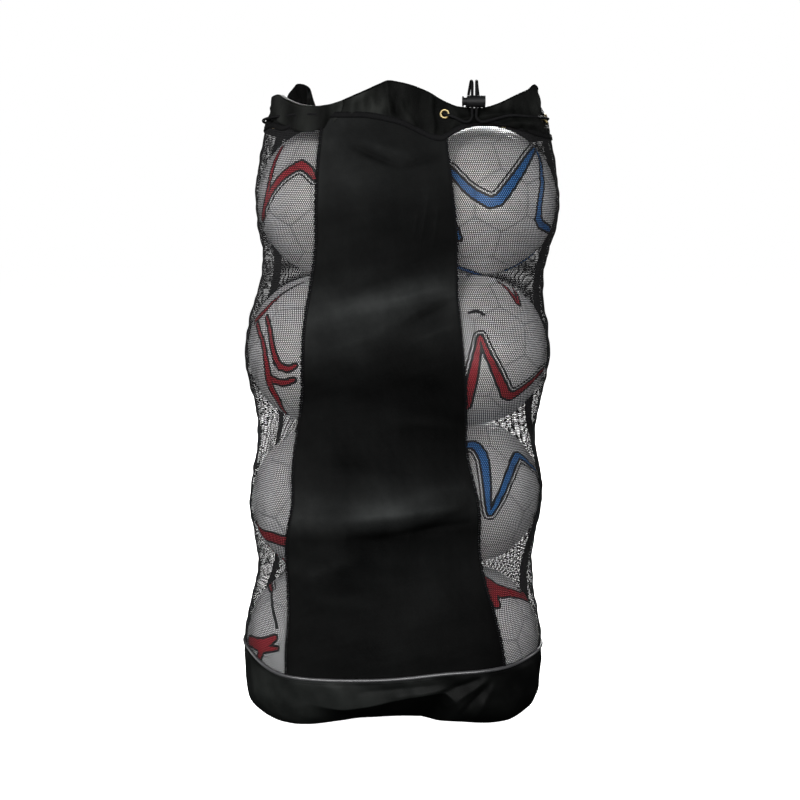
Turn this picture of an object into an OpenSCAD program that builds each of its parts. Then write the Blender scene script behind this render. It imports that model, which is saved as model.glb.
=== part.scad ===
// Mesh ball bag, standing on its base and filled with twelve footballs.
// Origin: centre of the base, on the floor. +Z up, the solid front panel faces -Y.

/* [Balls] */
// Diameter of a ball
ball_d = 218; // [216:0.5:219]
// Wall of a ball
ball_wall = 3; // [2:0.5:6]
// Distance from the middle of a level to the middle of each of its balls
ring_r = 126.5; // [126.5:0.5:130]
// Height of the lowest ball's middle
first_z = 113.5; // [113.5:0.5:118]
// Height from one level of balls to the next
pitch = 216; // [216:0.5:220]

/* [Bag] */
// Thickness of the cloth and the mesh
cloth_t = 1.5; // [1:0.1:2]
// Clear space between a ball and the cloth
ball_gap = 2.5; // [2.3:0.1:5]
// How far the mesh pulls in between two levels of balls
neck = 16; // [8:1:18]
// Height of the base band, to its piping
base_h = 88; // [70:1:110]
// Height of the seam between mesh and collar
seam_z = 860; // [856:1:864]
// Width of the tape over each side seam
binding_w = 20; // [12:1:30]
// Diameter of the piping
piping_d = 5; // [3:0.5:6]

/* [Mouth] */
// Height of the eyelets
eyelet_z = 876; // [875:1:880]
// Lowest height of the collar's edge, at each eyelet
pinch_z = 889; // [887:1:900]
// Bore of an eyelet
eyelet_d = 8; // [7:0.5:9]
// Diameter of the drawstring
cord_d = 4; // [3.5:0.1:4.2]
// Diameter of the cord lock's barrel
lock_d = 16; // [15:0.5:18]
// Travel of the cord lock's button
button_travel = 4; // [2:0.5:4]

/* [Strap] */
// Width of the strap's webbing
webbing_w = 38; // [25:1:38]
// Thickness of the webbing
webbing_t = 2; // [1.5:0.1:2.2]
// Width of the shoulder pad
pad_w = 62; // [45:1:80]
// Thickness of the shoulder pad
pad_t = 10; // [6:1:14]

/* [Hidden] */
$fn = 64;

ball_r = ball_d / 2;
levels = 4;
// The balls settle a little to one side, to the back and round at each level
shift_x = [-9, -20, -2, 12];
shift_y = [-8, -8, -8, 22];
turn = [0, 18, 0, 0];
ball_az = [-150, -30, 90];
last_z = first_z + (levels - 1) * pitch;
// The cloth's inner and outer faces, measured from the balls
inside = ball_gap;
outside = ball_gap + cloth_t;
base_round = 55;
base_tuck = 58;
mouth_lean = 15;

// ---- The bag's surface -------------------------------------------------
function lerp(a, b, t) = a + (b - a) * t;
function clamp01(t) = min(1, max(0, t));
function ease(t) = let (s = (1 - cos(180 * clamp01(t))) / 2) s * s * (3 - 2 * s);
function level_of(z) = min(levels - 2, max(0, floor((z - first_z) / pitch)));
function at_height(list, z) =
    let (k = level_of(z)) lerp(list[k], list[k + 1], ease((z - first_z) / pitch - k));

// How far the cloth lies inside the balls' own circle at height z
function tuck(z) =
    z < base_round ? base_tuck * (1 - sqrt(1 - pow((base_round - z) / base_round, 2)))
    : z < first_z ? 0
    : z > last_z ? let (t = (z - last_z) / (seam_z - last_z)) mouth_lean * t * t * (1.6 - 0.6 * t)
    : neck * (1 - cos(360 * (z - first_z) / pitch)) / 2;

// Corner circle's radius, the ball a direction belongs to, and its angle from that ball
function corner_r(z, off) = ball_r - tuck(z) + off;
function from_ball(a, z) =
    let (b = (((a - at_height(turn, z) - 90) % 120) + 120) % 120) b < 60 ? b : b - 120;
function corner_limit(r) = atan(r * sin(60) / (ring_r + r / 2));

// Distance from the level's middle to the surface: three round corners joined by flats
function reach(a, z, off) =
    let (r = corner_r(z, off), d = from_ball(a, z))
    abs(d) <= corner_limit(r)
        ? ring_r * cos(d) + sqrt(r * r - pow(ring_r * sin(d), 2))
        : (ring_r / 2 + r) / cos(60 - abs(d));
function middle(z) = [at_height(shift_x, z), at_height(shift_y, z), z];
function skin(a, z, off) = middle(z) + reach(a, z, off) * [cos(a), sin(a), 0];

// Direction that the surface faces at azimuth a
function facing(a, z, off) =
    let (r = corner_r(z, off), d = from_ball(a, z), ball = a - d)
    abs(d) <= corner_limit(r)
        ? ball + (let (p = reach(a, z, off) * [cos(d), sin(d)] - [ring_r, 0]) atan2(p[1], p[0]))
        : ball + (d > 0 ? 60 : -60);

// ---- Solids between two grids of points -------------------------------
// Rows go up and columns go round; the inner grid follows the outer one
function quad(a, b, c, d) = [[a, b, c], [a, c, d]];
function sheet_faces(rows, cols, ring) =
    let (n = rows * cols, wide = ring ? cols : cols - 1)
    concat(
        [for (r = [0 : rows - 2], c = [0 : wide - 1])
            let (a = r * cols + c, b = r * cols + (c + 1) % cols, d = a + cols, e = b + cols)
            each concat(quad(a, d, e, b), quad(n + a, n + b, n + e, n + d))],
        [for (c = [0 : wide - 1]) let (a = c, b = (c + 1) % cols) each quad(a, b, n + b, n + a)],
        [for (c = [0 : wide - 1])
            let (d = n - cols + c, e = n - cols + (c + 1) % cols) each quad(e, d, n + d, n + e)],
        ring ? [] : [for (r = [0 : rows - 2])
            let (a = r * cols, d = a + cols) each quad(d, a, n + a, n + d)],
        ring ? [] : [for (r = [0 : rows - 2])
            let (b = r * cols + cols - 1, e = b + cols) each quad(b, e, n + e, n + b)]
    );
module cloth_sheet(outer, inner, ring = false)
    polyhedron(
        points = [for (g = [outer, inner]) for (row = g) each row],
        faces = sheet_faces(len(outer), len(outer[0]), ring),
        convexity = 6
    );

// A piece of the bag between two edges, each an azimuth at every height
row_step = 27;
module bag_piece(az_from, az_to, z0, z1, cols, low, high) {
    rows = floor((z1 - z0) / row_step);
    heights = [for (i = [0 : rows]) z0 + i * row_step, z1];
    grids = [for (off = [high, low])
        [for (z = heights)
            [for (c = [0 : cols]) skin(lerp(az_from(z), az_to(z), c / cols), z, off)]]];
    cloth_sheet(grids[0], grids[1]);
}
module bag_ring(heights, cols, low, high) {
    grids = [for (off = [high, low])
        [for (z = heights) [for (c = [0 : cols - 1]) skin(360 * c / cols, z, off)]]];
    cloth_sheet(grids[0], grids[1], ring = true);
}

// ---- Tube along a list of points --------------------------------------
function unit(v) = v / norm(v);
function tangent(p, i, loop) =
    let (n = len(p))
    unit(loop ? p[(i + 1) % n] - p[(i + n - 1) % n] : p[min(i + 1, n - 1)] - p[max(i - 1, 0)]);
function tube_points(p, r, sides, loop) = [
    for (i = [0 : len(p) - 1])
        let (
            t = tangent(p, i, loop),
            side = unit(cross(t, abs(t[2]) > 0.9 ? [0, 1, 0] : [0, 0, 1])),
            up = cross(t, side)
        )
        for (k = [0 : sides - 1])
            p[i] + r * (cos(360 * k / sides) * side + sin(360 * k / sides) * up)
];
function tube_faces(n, sides, loop) = concat(
    [for (i = [0 : loop ? n - 1 : n - 2], k = [0 : sides - 1])
        let (a = i * sides, b = ((i + 1) % n) * sides, m = (k + 1) % sides)
        each quad(a + k, b + k, b + m, a + m)],
    loop ? [] : [[for (k = [0 : sides - 1]) k]],
    loop ? [] : [[for (k = [sides - 1 : -1 : 0]) (n - 1) * sides + k]]
);
module tube(p, d, sides, loop = false)
    polyhedron(
        points = tube_points(p, d / 2, sides, loop),
        faces = tube_faces(len(p), sides, loop),
        convexity = 8
    );

// ---- Base ---------------------------------------------------------------
bottom_t = 3;
band_low = 0.6;
band_gap = 0.4;
module base_bottom()
    color([0.10, 0.10, 0.11])
    linear_extrude(bottom_t)
    translate([shift_x[0], shift_y[0]])
    union() {
        r = corner_r(band_low, inside) - band_gap;
        for (a = ball_az) translate(ring_r * [cos(a), sin(a)]) circle(r);
        polygon([for (a = ball_az, s = [-60, 60])
            ring_r * [cos(a), sin(a)] + r * [cos(a + s), sin(a + s)]]);
    }
band_rows = 10;
band_high = base_h - piping_d / 2 - band_gap;
module base_band()
    color([0.12, 0.12, 0.13])
    bag_ring([for (i = [0 : band_rows]) lerp(band_low, band_high, pow(i / band_rows, 1.3))],
        60, inside, outside);
module base_piping()
    color([0.25, 0.25, 0.26])
    tube([for (c = [0 : 71]) skin(5 * c, base_h, outside - cloth_t / 2)], piping_d, 8, loop = true);

// ---- Panels and mesh ----------------------------------------------------
panel_z0 = base_h + piping_d / 2 + band_gap;
panel_z1 = seam_z - band_gap;
edge_gap = 0.1;
// Azimuth of the front panel's edges at a few heights: the panel narrows upwards and hangs
// straight, while the balls behind it sit turned at the second level
left_edge = [
    [90, -131.7], [200, -131], [345, -121.5], [485, -128], [620, -128], [760, -125.5], [860, -126]
];
right_edge = [
    [90, -45.7], [200, -46.8], [340, -48.5], [485, -60], [620, -64], [760, -70.5], [850, -74.5]
];
front_left = function (z) lookup(z, left_edge);
front_right = function (z) lookup(z, right_edge);
// The side seams wind a little with the balls
right_seam = [[90, -3], [250, -3], [440, -2], [650, -9], [860, -9]];
left_seam = [[90, 180], [250, 181], [440, 177], [650, 182], [860, 182]];
side_right = function (z) lookup(z, right_seam);
side_left = function (z) lookup(z, left_seam);
plus = function (edge, d) function (z) edge(z) + d;

hem_w_az = 2;
tape_low = outside + 0.4;
tape_high = tape_low + 1;
tape_down = 10;
tape_up = 6;
strip_z1 = seam_z - tape_down - band_gap;
module front_panel()
    color([0.13, 0.13, 0.14])
    bag_piece(front_left, front_right, panel_z0, panel_z1, 14, inside, outside);
module mesh_left()
    color([0.35, 0.35, 0.36])
    bag_piece(plus(side_left, edge_gap), plus(front_left, 360 - edge_gap),
        panel_z0, panel_z1, 9, inside, outside);
module mesh_right()
    color([0.35, 0.35, 0.36])
    bag_piece(plus(front_right, edge_gap), plus(side_right, -edge_gap),
        panel_z0, panel_z1, 12, inside, outside);
module mesh_back()
    color([0.35, 0.35, 0.36])
    bag_piece(side_right, side_left, panel_z0, panel_z1, 28, inside, outside);
module panel_hem_left()
    color([0.08, 0.08, 0.09])
    bag_piece(plus(front_left, -hem_w_az / 2), plus(front_left, hem_w_az / 2),
        panel_z0, strip_z1, 2, tape_low, tape_high);
module panel_hem_right()
    color([0.08, 0.08, 0.09])
    bag_piece(plus(front_right, -hem_w_az / 2), plus(front_right, hem_w_az / 2),
        panel_z0, strip_z1, 2, tape_low, tape_high);
binding_az = binding_w * 360 / (2 * PI * (ring_r + ball_r));
module side_binding_left()
    color([0.06, 0.06, 0.07])
    bag_piece(plus(side_left, -binding_az / 2), plus(side_left, binding_az / 2),
        panel_z0, strip_z1, 3, tape_low, tape_high);
module side_binding_right()
    color([0.06, 0.06, 0.07])
    bag_piece(plus(side_right, -binding_az / 2), plus(side_right, binding_az / 2),
        panel_z0, strip_z1, 3, tape_low, tape_high);

// ---- Mouth --------------------------------------------------------------
// Eyelets round the mouth, and the height and lean of the cloth lobe after each
eyelet_az = [-129, -72, -27, 18, 62, 106, 148, 190];
lobe_h = [34, 16, 42, 30, 34, 28, 46, 22];
lobe_lean = [3, 6, -5, 6, -6, 5, -6, -7];
eyelets_n = len(eyelet_az);
function lobe_end(i) = i + 1 < eyelets_n ? eyelet_az[i + 1] : eyelet_az[0] + 360;
function wrapped(a) = eyelet_az[0] + (((a - eyelet_az[0]) % 360) + 360) % 360;
function lobe_at(a) =
    let (w = wrapped(a), i = max([for (k = [0 : eyelets_n - 1]) eyelet_az[k] <= w ? k : 0]))
    [i, (w - eyelet_az[i]) / (lobe_end(i) - eyelet_az[i])];
function rim_z(a) = let (l = lobe_at(a)) pinch_z + lobe_h[l[0]] * pow(sin(180 * l[1]), 0.9);
function collar_lean(a, z) =
    let (l = lobe_at(a)) lobe_lean[l[0]] * pow(sin(180 * l[1]), 2) * clamp01((z - eyelet_z) / 40);
collar_low = seam_z + band_gap;
collar_cols = 80;
collar_rows = 5;
collar_az = [for (i = [0 : eyelets_n - 1], k = [0 : collar_cols / eyelets_n - 1])
    lerp(eyelet_az[i], lobe_end(i), k * eyelets_n / collar_cols)];
collar_grid = function (off)
    [for (r = [0 : collar_rows])
        [for (a = collar_az)
            let (z = lerp(collar_low, rim_z(a), r / collar_rows)) skin(a, z, off + collar_lean(a, z))]];
// Places a child at an eyelet, with +Z out of the bag and square to the leaning cloth
cloth_lean = atan((tuck(eyelet_z + 1) - tuck(eyelet_z - 1)) / 2);
module at_eyelet(a)
    translate(skin(a, eyelet_z, inside + cloth_t / 2))
    rotate([0, 90 - cloth_lean, facing(a, eyelet_z, inside)])
    children();
module at_eyelets() for (a = eyelet_az) at_eyelet(a) children();

flange_d = eyelet_d + 6;
barrel_d = eyelet_d + 2;
flange_t = 1.2;
seat = cloth_t / 2 + 1.1;
module collar()
    color([0.12, 0.12, 0.13])
    difference() {
        cloth_sheet(collar_grid(outside), collar_grid(inside), ring = true);
        at_eyelets() cylinder(d = barrel_d + 0.4, h = 30, center = true);
    }
module collar_tape()
    color([0.07, 0.07, 0.08])
    bag_ring([for (i = [0 : 2]) lerp(seam_z - tape_down, seam_z + tape_up, i / 2)],
        120, tape_low, tape_high);
module eyelet() {
    rotate_extrude()
    polygon([
        [eyelet_d / 2, -seat - flange_t - 0.6], [eyelet_d / 2 + 0.6, -seat - flange_t - 1],
        [barrel_d / 2 + 0.6, -seat - flange_t - 1], [barrel_d / 2 + 0.6, -seat - flange_t - 0.1],
        [barrel_d / 2, -seat - flange_t - 0.1], [barrel_d / 2, seat],
        [flange_d / 2, seat], [flange_d / 2, seat + 0.5],
        [flange_d / 2 - 1, seat + flange_t], [eyelet_d / 2 + 1, seat + flange_t],
        [eyelet_d / 2, seat + 0.4]
    ]);
}
module eyelets() color([0.62, 0.52, 0.28]) at_eyelets() eyelet();
module eyelet_washers()
    color([0.55, 0.46, 0.25])
    at_eyelets()
    translate([0, 0, -seat - flange_t])
    difference() {
        cylinder(d = flange_d, h = flange_t);
        translate([0, 0, -1]) cylinder(d = barrel_d + 0.1, h = flange_t + 2);
    }

// ---- Drawstring and cord lock -------------------------------------------
lock_az = -60;
lock_face = facing(lock_az, eyelet_z, outside);
lock_out = 12;
lock_z = 892;
cord_apart = 2.9;
cord_join_z = 876;
cord_stand = 7;
// Points in the lock's own frame: x along the collar, y out of the bag, z up
lock_origin = skin(lock_az, eyelet_z, outside);
function from_lock(p) =
    [lock_origin[0], lock_origin[1], 0]
    + p[0] * [-sin(lock_face), cos(lock_face), 0]
    + p[1] * [cos(lock_face), sin(lock_face), 0]
    + [0, 0, p[2]];
module at_lock()
    translate([lock_origin[0], lock_origin[1], lock_z])
    rotate([0, 0, lock_face - 90])
    translate([0, lock_out, 0])
    children();

// The cord beside the collar: before and after an eyelet, and between eyelets
function beside(a, side) = skin(a, eyelet_z, side > 0 ? outside + cord_stand : inside - cord_stand);
function at_pass(a, d) =
    let (f = facing(a, eyelet_z, inside))
    skin(a, eyelet_z, inside + cloth_t / 2) + d * [cos(f), sin(f), 0];
pass_reach = cord_stand;
spans = [0.12, 0.3, 0.5, 0.7, 0.88];
// Side of the collar that the cord takes over each lobe: 1 outside, -1 inside
lobe_side = [-1, 1, -1, 1, -1, 1, -1, 1];
function lobe_path(i) = [for (s = spans) beside(lerp(eyelet_az[i], lobe_end(i), s), lobe_side[i])];
function pass_path(i) =
    let (a = eyelet_az[i], s = lobe_side[(i + eyelets_n - 1) % eyelets_n])
    [for (d = [s * pass_reach, 0, -s * pass_reach]) at_pass(a, d)];
// From the lock leftwards: lobe 1's left part, then lobes 0, 7, 6 ... 2 and lobe 1's right part
lock_left = [from_lock([-cord_apart, lock_out, cord_join_z]), from_lock([-cord_apart, lock_out, 871]),
    from_lock([-6, lock_out - 1, 866]), from_lock([-13, lock_out - 3, 865])];
lock_right = [from_lock([15, lock_out - 3, 865]), from_lock([7, lock_out - 1, 866]),
    from_lock([cord_apart, lock_out, 871]), from_lock([cord_apart, lock_out, cord_join_z])];
function backwards(list) = [for (i = [len(list) - 1 : -1 : 0]) list[i]];
drawstring_path = concat(
    lock_left,
    [from_lock([-26, 7, 871])],
    backwards(pass_path(1)),
    backwards(lobe_path(0)),
    [for (i = [eyelets_n : -1 : 3])
        each concat(backwards(pass_path(i % eyelets_n)), backwards(lobe_path(i - 1)))],
    backwards(pass_path(2)),
    [for (s = [0.85, 0.68, 0.52]) beside(lerp(eyelet_az[1], eyelet_az[2], s), 1) - [0, 0, 4 * (1 - s)]],
    lock_right
);
module drawstring() color([0.05, 0.05, 0.05]) tube(drawstring_path, cord_d, 8);

// Free ends: up through the lock, over the rim and down inside the mouth.
// Each point is its distance out of the bag from the lock's middle, and its height
tail_route = [
    [0, 876], [0, 884], [0, 892], [0, 900], [0, 906], [0, 911],
    [-1.5, 915.5], [-5, 919], [-10, 920.5], [-15, 919], [-19, 915],
    [-22, 909], [-24, 902], [-25.5, 894], [-26.5, 886], [-27, 878], [-27, 870]
];
spread = [0, 0, 0, 0, 0, 0, 0, 0.3, 0.8, 1.4, 2, 3, 4, 5, 6, 6.5, 7];
module tail(s)
    tube([for (i = [0 : len(tail_route) - 1])
        let (p = tail_route[i]) from_lock([s * (cord_apart + spread[i]), lock_out + p[0], p[1]])],
        cord_d, 8);
module cord_tail_a() color([0.05, 0.05, 0.05]) tail(-1);
module cord_tail_b() color([0.05, 0.05, 0.05]) tail(1);
knot_d = 9;
module tail_knot(s)
    let (last = len(tail_route) - 1, p = tail_route[last])
    translate(from_lock([s * (cord_apart + spread[last]), lock_out + p[0], p[1] - knot_d / 2]))
    rotate_extrude()
    intersection() {
        circle(d = knot_d);
        translate([0, -knot_d]) square([knot_d, 2 * knot_d]);
    }
module tail_knot_a() color([0.05, 0.05, 0.05]) tail_knot(-1);
module tail_knot_b() color([0.05, 0.05, 0.05]) tail_knot(1);

// The lock's barrel lies along the collar, its two cord bores stand upright
cord_bore = cord_d + 0.8;
well_d = lock_d - 5;
button_d = well_d - 0.4;
barrel_from = -15;
barrel_to = 10;
well_from = -13;
button_from = -7.2;
button_to = 15;
slot_from = -cord_apart - cord_bore / 2 - 0.1;
slot_to = -slot_from + button_travel;
slot_w = cord_bore + 0.2;
module along_x(d, x0, x1) translate([x0, 0, 0]) rotate([0, 90, 0]) cylinder(d = d, h = x1 - x0);
module cord_lock_barrel()
    color([0.09, 0.09, 0.10])
    at_lock()
    difference() {
        along_x(lock_d, barrel_from, barrel_to);
        along_x(well_d, well_from, barrel_to + 1);
        for (s = [-1, 1]) translate([s * cord_apart, 0, -lock_d]) cylinder(d = cord_bore, h = 2 * lock_d);
    }
module cord_lock_button()
    color([0.13, 0.13, 0.14])
    at_lock()
    difference() {
        union() {
            along_x(button_d, button_from, button_to);
            along_x(lock_d - 2, barrel_to + button_travel + 0.4, button_to + 1.5);
        }
        translate([slot_from, -slot_w / 2, -lock_d]) cube([slot_to - slot_from, slot_w, 2 * lock_d]);
    }
spring_turns = 3;
spring_room = button_from - well_from - 0.8;
module cord_lock_spring()
    color([0.7, 0.7, 0.72])
    at_lock()
    tube([for (i = [0 : 8 * spring_turns])
        [well_from + 0.4 + spring_room * i / (8 * spring_turns), 3.6 * cos(45 * i), 3.6 * sin(45 * i)]],
        0.7, 6);

// ---- Shoulder strap -----------------------------------------------------
strap_y = 272;
ring_top_z = 846;
ring_low_z = 66;
ring_wire = 4;
ring_in_w = webbing_w + 3;
ring_h = 20;
tab_w = 32;
tab_t = 2;
loop_d = ring_wire + 1;
// A flat band cut out of the strap's side view, wide along X
module band(w) rotate([90, 0, 90]) linear_extrude(w, center = true) children();
// Outline of a band along a route in the side view, between two distances from the route
function side_dir(p, i) =
    let (t = unit(p[min(i + 1, len(p) - 1)] - p[max(i - 1, 0)])) [-t[1], t[0]];
function ribbon(p, low, high) = concat(
    [for (i = [0 : len(p) - 1]) p[i] + high * side_dir(p, i)],
    [for (i = [len(p) - 1 : -1 : 0]) p[i] + low * side_dir(p, i)]
);
module loop_round(z) translate([strap_y, z]) circle(d = loop_d + 2 * tab_t);
module loop_hole(z) translate([strap_y, z]) circle(d = loop_d);
module strap_tab(z, from_y)
    band(tab_w)
    difference() {
        union() {
            translate([from_y, z - tab_t]) square([strap_y - from_y, 2 * tab_t]);
            loop_round(z);
        }
        loop_hole(z);
    }
module strap_ring(z)
    let (x = (ring_in_w + ring_wire) / 2)
    union() {
        for (s = [-1, 1]) translate([s * x, strap_y, z - ring_h / 2])
            cylinder(d = ring_wire, h = ring_h);
        for (h = [-1, 1]) translate([-x, strap_y, z + h * ring_h / 2])
            rotate([0, 90, 0]) cylinder(d = ring_wire, h = 2 * x);
        for (s = [-1, 1], h = [-1, 1])
            translate([s * x, strap_y, z + h * ring_h / 2]) sphere(d = ring_wire);
    }
top_skin_y = 250;
low_skin_y = 232;
module strap_tab_top() color([0.08, 0.08, 0.08]) strap_tab(ring_top_z, top_skin_y);
module strap_tab_bottom() color([0.08, 0.08, 0.08]) strap_tab(ring_low_z, low_skin_y);
module strap_ring_top() color([0.3, 0.3, 0.32]) strap_ring(ring_top_z - ring_h / 2);
module strap_ring_bottom() color([0.3, 0.3, 0.32]) strap_ring(ring_low_z + ring_h / 2);

// Side view of the strap from its top ring to its bottom ring
hook_top_z = ring_top_z - ring_h;
hook_low_z = ring_low_z + ring_h;
strap_far_y = 300;
strap_route = [
    [strap_y, hook_top_z], [275, 808], [283, 780], [291, 748], [296, 715], [299, 680],
    [strap_far_y, 640], [strap_far_y, 520], [strap_far_y, 400], [strap_far_y, 200],
    [299, 172], [294, 142], [286, 118], [strap_y, hook_low_z]
];
module hook(z, d, w) translate([-w / 2, strap_y, z]) rotate([0, 90, 0]) cylinder(d = d, h = w);
module strap_webbing()
    color([0.07, 0.07, 0.07])
    difference() {
        union() {
            band(webbing_w) polygon(ribbon(strap_route, -webbing_t / 2, webbing_t / 2));
            for (z = [hook_top_z, hook_low_z]) hook(z, loop_d + 2 * tab_t, webbing_w);
        }
        for (z = [hook_top_z, hook_low_z]) hook(z, loop_d, webbing_w + 1);
    }
pad_route = [for (i = [4 : 8]) strap_route[i]];
module shoulder_pad()
    color([0.10, 0.10, 0.11])
    band(pad_w)
    polygon(ribbon(pad_route, -webbing_t / 2 - pad_t, -webbing_t / 2));

slider_z = 290;
slider_gap = 0.4;
slider_bar = 2.6;
slider_rail = 4;
module strap_slider() {
    half_w = webbing_w / 2 + 1;
    reach_y = webbing_t / 2 + slider_gap;
    color([0.12, 0.12, 0.12])
    translate([0, strap_far_y, slider_z])
    union() {
        for (s = [-1, 1])
            translate([s * (half_w + slider_rail / 2), 0, 0])
            cube([slider_rail, 2 * (reach_y + slider_bar), 28], center = true);
        for (h = [-12, 12])
            translate([0, reach_y + slider_bar / 2, h])
            cube([2 * half_w + 0.1, slider_bar, 4], center = true);
        translate([0, -reach_y - slider_bar / 2, 0])
        cube([2 * half_w + 0.1, slider_bar, 5], center = true);
    }
}

// ---- Balls --------------------------------------------------------------
// Ball i of twelve, three to a level from the bottom up
module ball(i) {
    k = floor((i - 1) / 3);
    a = ball_az[(i - 1) % 3] + turn[k];
    color([0.85, 0.85, 0.85])
    translate([shift_x[k] + ring_r * cos(a), shift_y[k] + ring_r * sin(a), first_z + k * pitch])
    rotate_extrude()
    intersection() {
        difference() {
            circle(ball_r);
            circle(ball_r - ball_wall);
        }
        translate([0, -ball_d]) square([ball_d, 2 * ball_d]);
    }
}

base_bottom();
base_band();
base_piping();
front_panel();
mesh_left();
mesh_right();
mesh_back();
panel_hem_left();
panel_hem_right();
side_binding_left();
side_binding_right();
collar();
collar_tape();
eyelets();
eyelet_washers();
drawstring();
cord_lock_barrel();
cord_lock_button();
cord_lock_spring();
cord_tail_a();
cord_tail_b();
tail_knot_a();
tail_knot_b();
strap_tab_top();
strap_tab_bottom();
strap_ring_top();
strap_ring_bottom();
strap_webbing();
shoulder_pad();
strap_slider();
for (i = [1 : 3 * levels])
    ball(i);
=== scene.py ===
"""Mesh ball bag: the looks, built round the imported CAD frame. Metres, +Z up, front panel to -Y."""

import math
from functools import partial

import bmesh
import bpy
import numpy as np
from mathutils import Matrix, Vector


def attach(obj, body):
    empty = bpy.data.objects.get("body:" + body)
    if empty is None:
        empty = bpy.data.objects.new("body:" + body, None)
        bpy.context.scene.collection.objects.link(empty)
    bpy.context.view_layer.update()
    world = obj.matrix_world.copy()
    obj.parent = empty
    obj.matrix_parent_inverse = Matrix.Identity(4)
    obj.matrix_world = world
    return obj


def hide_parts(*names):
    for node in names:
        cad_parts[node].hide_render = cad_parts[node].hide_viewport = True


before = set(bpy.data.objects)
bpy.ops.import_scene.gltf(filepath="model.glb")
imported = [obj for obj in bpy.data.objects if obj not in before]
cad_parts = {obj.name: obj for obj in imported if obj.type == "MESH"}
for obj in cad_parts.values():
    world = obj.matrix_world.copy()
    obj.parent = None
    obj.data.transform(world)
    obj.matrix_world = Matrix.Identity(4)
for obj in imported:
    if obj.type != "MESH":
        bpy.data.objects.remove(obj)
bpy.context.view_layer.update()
scene = bpy.context.scene
TAU = 2 * math.pi
norm = np.linalg.norm

# ---- Camera ----
CAMERA_AT = Vector((0.0016, -1.85, 0.683))
camera = bpy.data.objects.new("camera", bpy.data.cameras.new("camera"))
camera.data.lens = 54.8
camera.location = CAMERA_AT
camera.rotation_euler = (math.radians(90 - 6.78), 0, 0)
scene.collection.objects.link(camera)
scene.camera = camera
scene.view_settings.view_transform = "Standard"

# ---- The bag's surface, as in part.scad ----
BALL_R, RING_R, FIRST_Z, PITCH = 0.109, 0.1265, 0.1135, 0.216
SHIFT_X = np.array([-0.009, -0.020, -0.002, 0.012])
SHIFT_Y = np.array([-0.008, -0.008, -0.008, 0.022])
TURN = np.array([0.0, 18.0, 0.0, 0.0])
BALL_AZ = [-150, -30, 90]
LAST_Z = FIRST_Z + 3 * PITCH
NECK, SEAM_Z, MOUTH_LEAN = 0.016, 0.860, 0.015
BASE_ROUND, BASE_TUCK = 0.055, 0.058
# From the balls to the cloth's outer face and to the sewn-on parts, and how thick the two cloths are
CLOTH, OUTSIDE = 0.00325, 0.004
NYLON_THICK, COATED_THICK = 0.0008, 0.0009


def at_height(values, z):
    """What the four layers' values come to at height z, eased from one layer to the next."""
    u = (np.asarray(z, float) - FIRST_Z) / PITCH
    k = np.clip(np.floor(u), 0, 2).astype(int)
    s = (1 - np.cos(math.pi * np.clip(u - k, 0, 1))) / 2
    s = s * s * (3 - 2 * s)
    return values[k] + (values[k + 1] - values[k]) * s


def tuck(z):
    """How far the bag draws in at height z: at its round base, between the layers and at its mouth."""
    z = np.asarray(z, float)
    low = BASE_TUCK * (1 - np.sqrt(np.clip(1 - ((BASE_ROUND - z) / BASE_ROUND) ** 2, 0, 1)))
    t = (z - LAST_Z) / (SEAM_Z - LAST_Z)
    top = MOUTH_LEAN * t * t * (1.6 - 0.6 * t)
    neck = NECK * (1 - np.cos(TAU * (z - FIRST_Z) / PITCH)) / 2
    return np.where(z < BASE_ROUND, low, np.where(z < FIRST_Z, 0, np.where(z > LAST_Z, top, neck)))


def from_ball(a, z):
    """Degrees from azimuth a to the middle of the nearest ball."""
    d = (a - at_height(TURN, z) - 90) % 120
    return np.where(d < 60, d, d - 120)


def skin(a, z, off=CLOTH):
    """The point of the bag's surface at azimuth a (degrees) and height z, off metres from the balls."""
    a, z, off = np.broadcast_arrays(np.asarray(a, float), np.asarray(z, float), np.asarray(off, float))
    r = BALL_R - tuck(z) + off
    d = np.radians(from_ball(a, z))
    limit = np.arctan(r * math.sin(TAU / 6) / (RING_R + r / 2))
    corner = RING_R * np.cos(d) + np.sqrt(np.maximum(r * r - (RING_R * np.sin(d)) ** 2, 0))
    flat = (RING_R / 2 + r) / np.cos(TAU / 6 - np.abs(d))
    reach = np.where(np.abs(d) <= limit, corner, flat)
    t = np.radians(a)
    return np.stack(
        [at_height(SHIFT_X, z) + reach * np.cos(t), at_height(SHIFT_Y, z) + reach * np.sin(t), z], -1
    )


def unit(v):
    """v with each of its last-axis vectors made one long."""
    return v / norm(v, axis=-1, keepdims=True)


def outward(a, z):
    """The level direction that the surface faces."""
    step = skin(np.asarray(a, float) + 0.5, z) - skin(np.asarray(a, float) - 0.5, z)
    return unit(np.stack([step[..., 1], -step[..., 0], 0 * step[..., 0]], -1))


def smooth(t):
    t = np.clip(t, 0, 1)
    return t * t * (3 - 2 * t)


def all_round(count):
    """Azimuths at an even step once round the bag, in degrees."""
    return np.linspace(-180, 180, count, endpoint=False)


def round_keys(keys, a):
    """A length that runs smoothly through (azimuth, millimetres) keys, all the way round."""
    k = np.array(sorted((x % 360, v / 1000) for x, v in keys))
    x = np.concatenate([k[-1:, 0] - 360, k[:, 0], k[:1, 0] + 360])
    y = np.concatenate([k[-1:, 1], k[:, 1], k[:1, 1]])
    a = np.asarray(a, float) % 360
    i = np.clip(np.searchsorted(x, a) - 1, 0, len(x) - 2)
    gap = x[i + 1] - x[i]
    t = (a - x[i]) / gap
    steep = np.gradient(y, x)
    rise, h = t * t * (3 - 2 * t), t * (1 - t) * gap
    return y[i] * (1 - rise) + y[i + 1] * rise + h * ((1 - t) * steep[i] - t * steep[i + 1])


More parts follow.
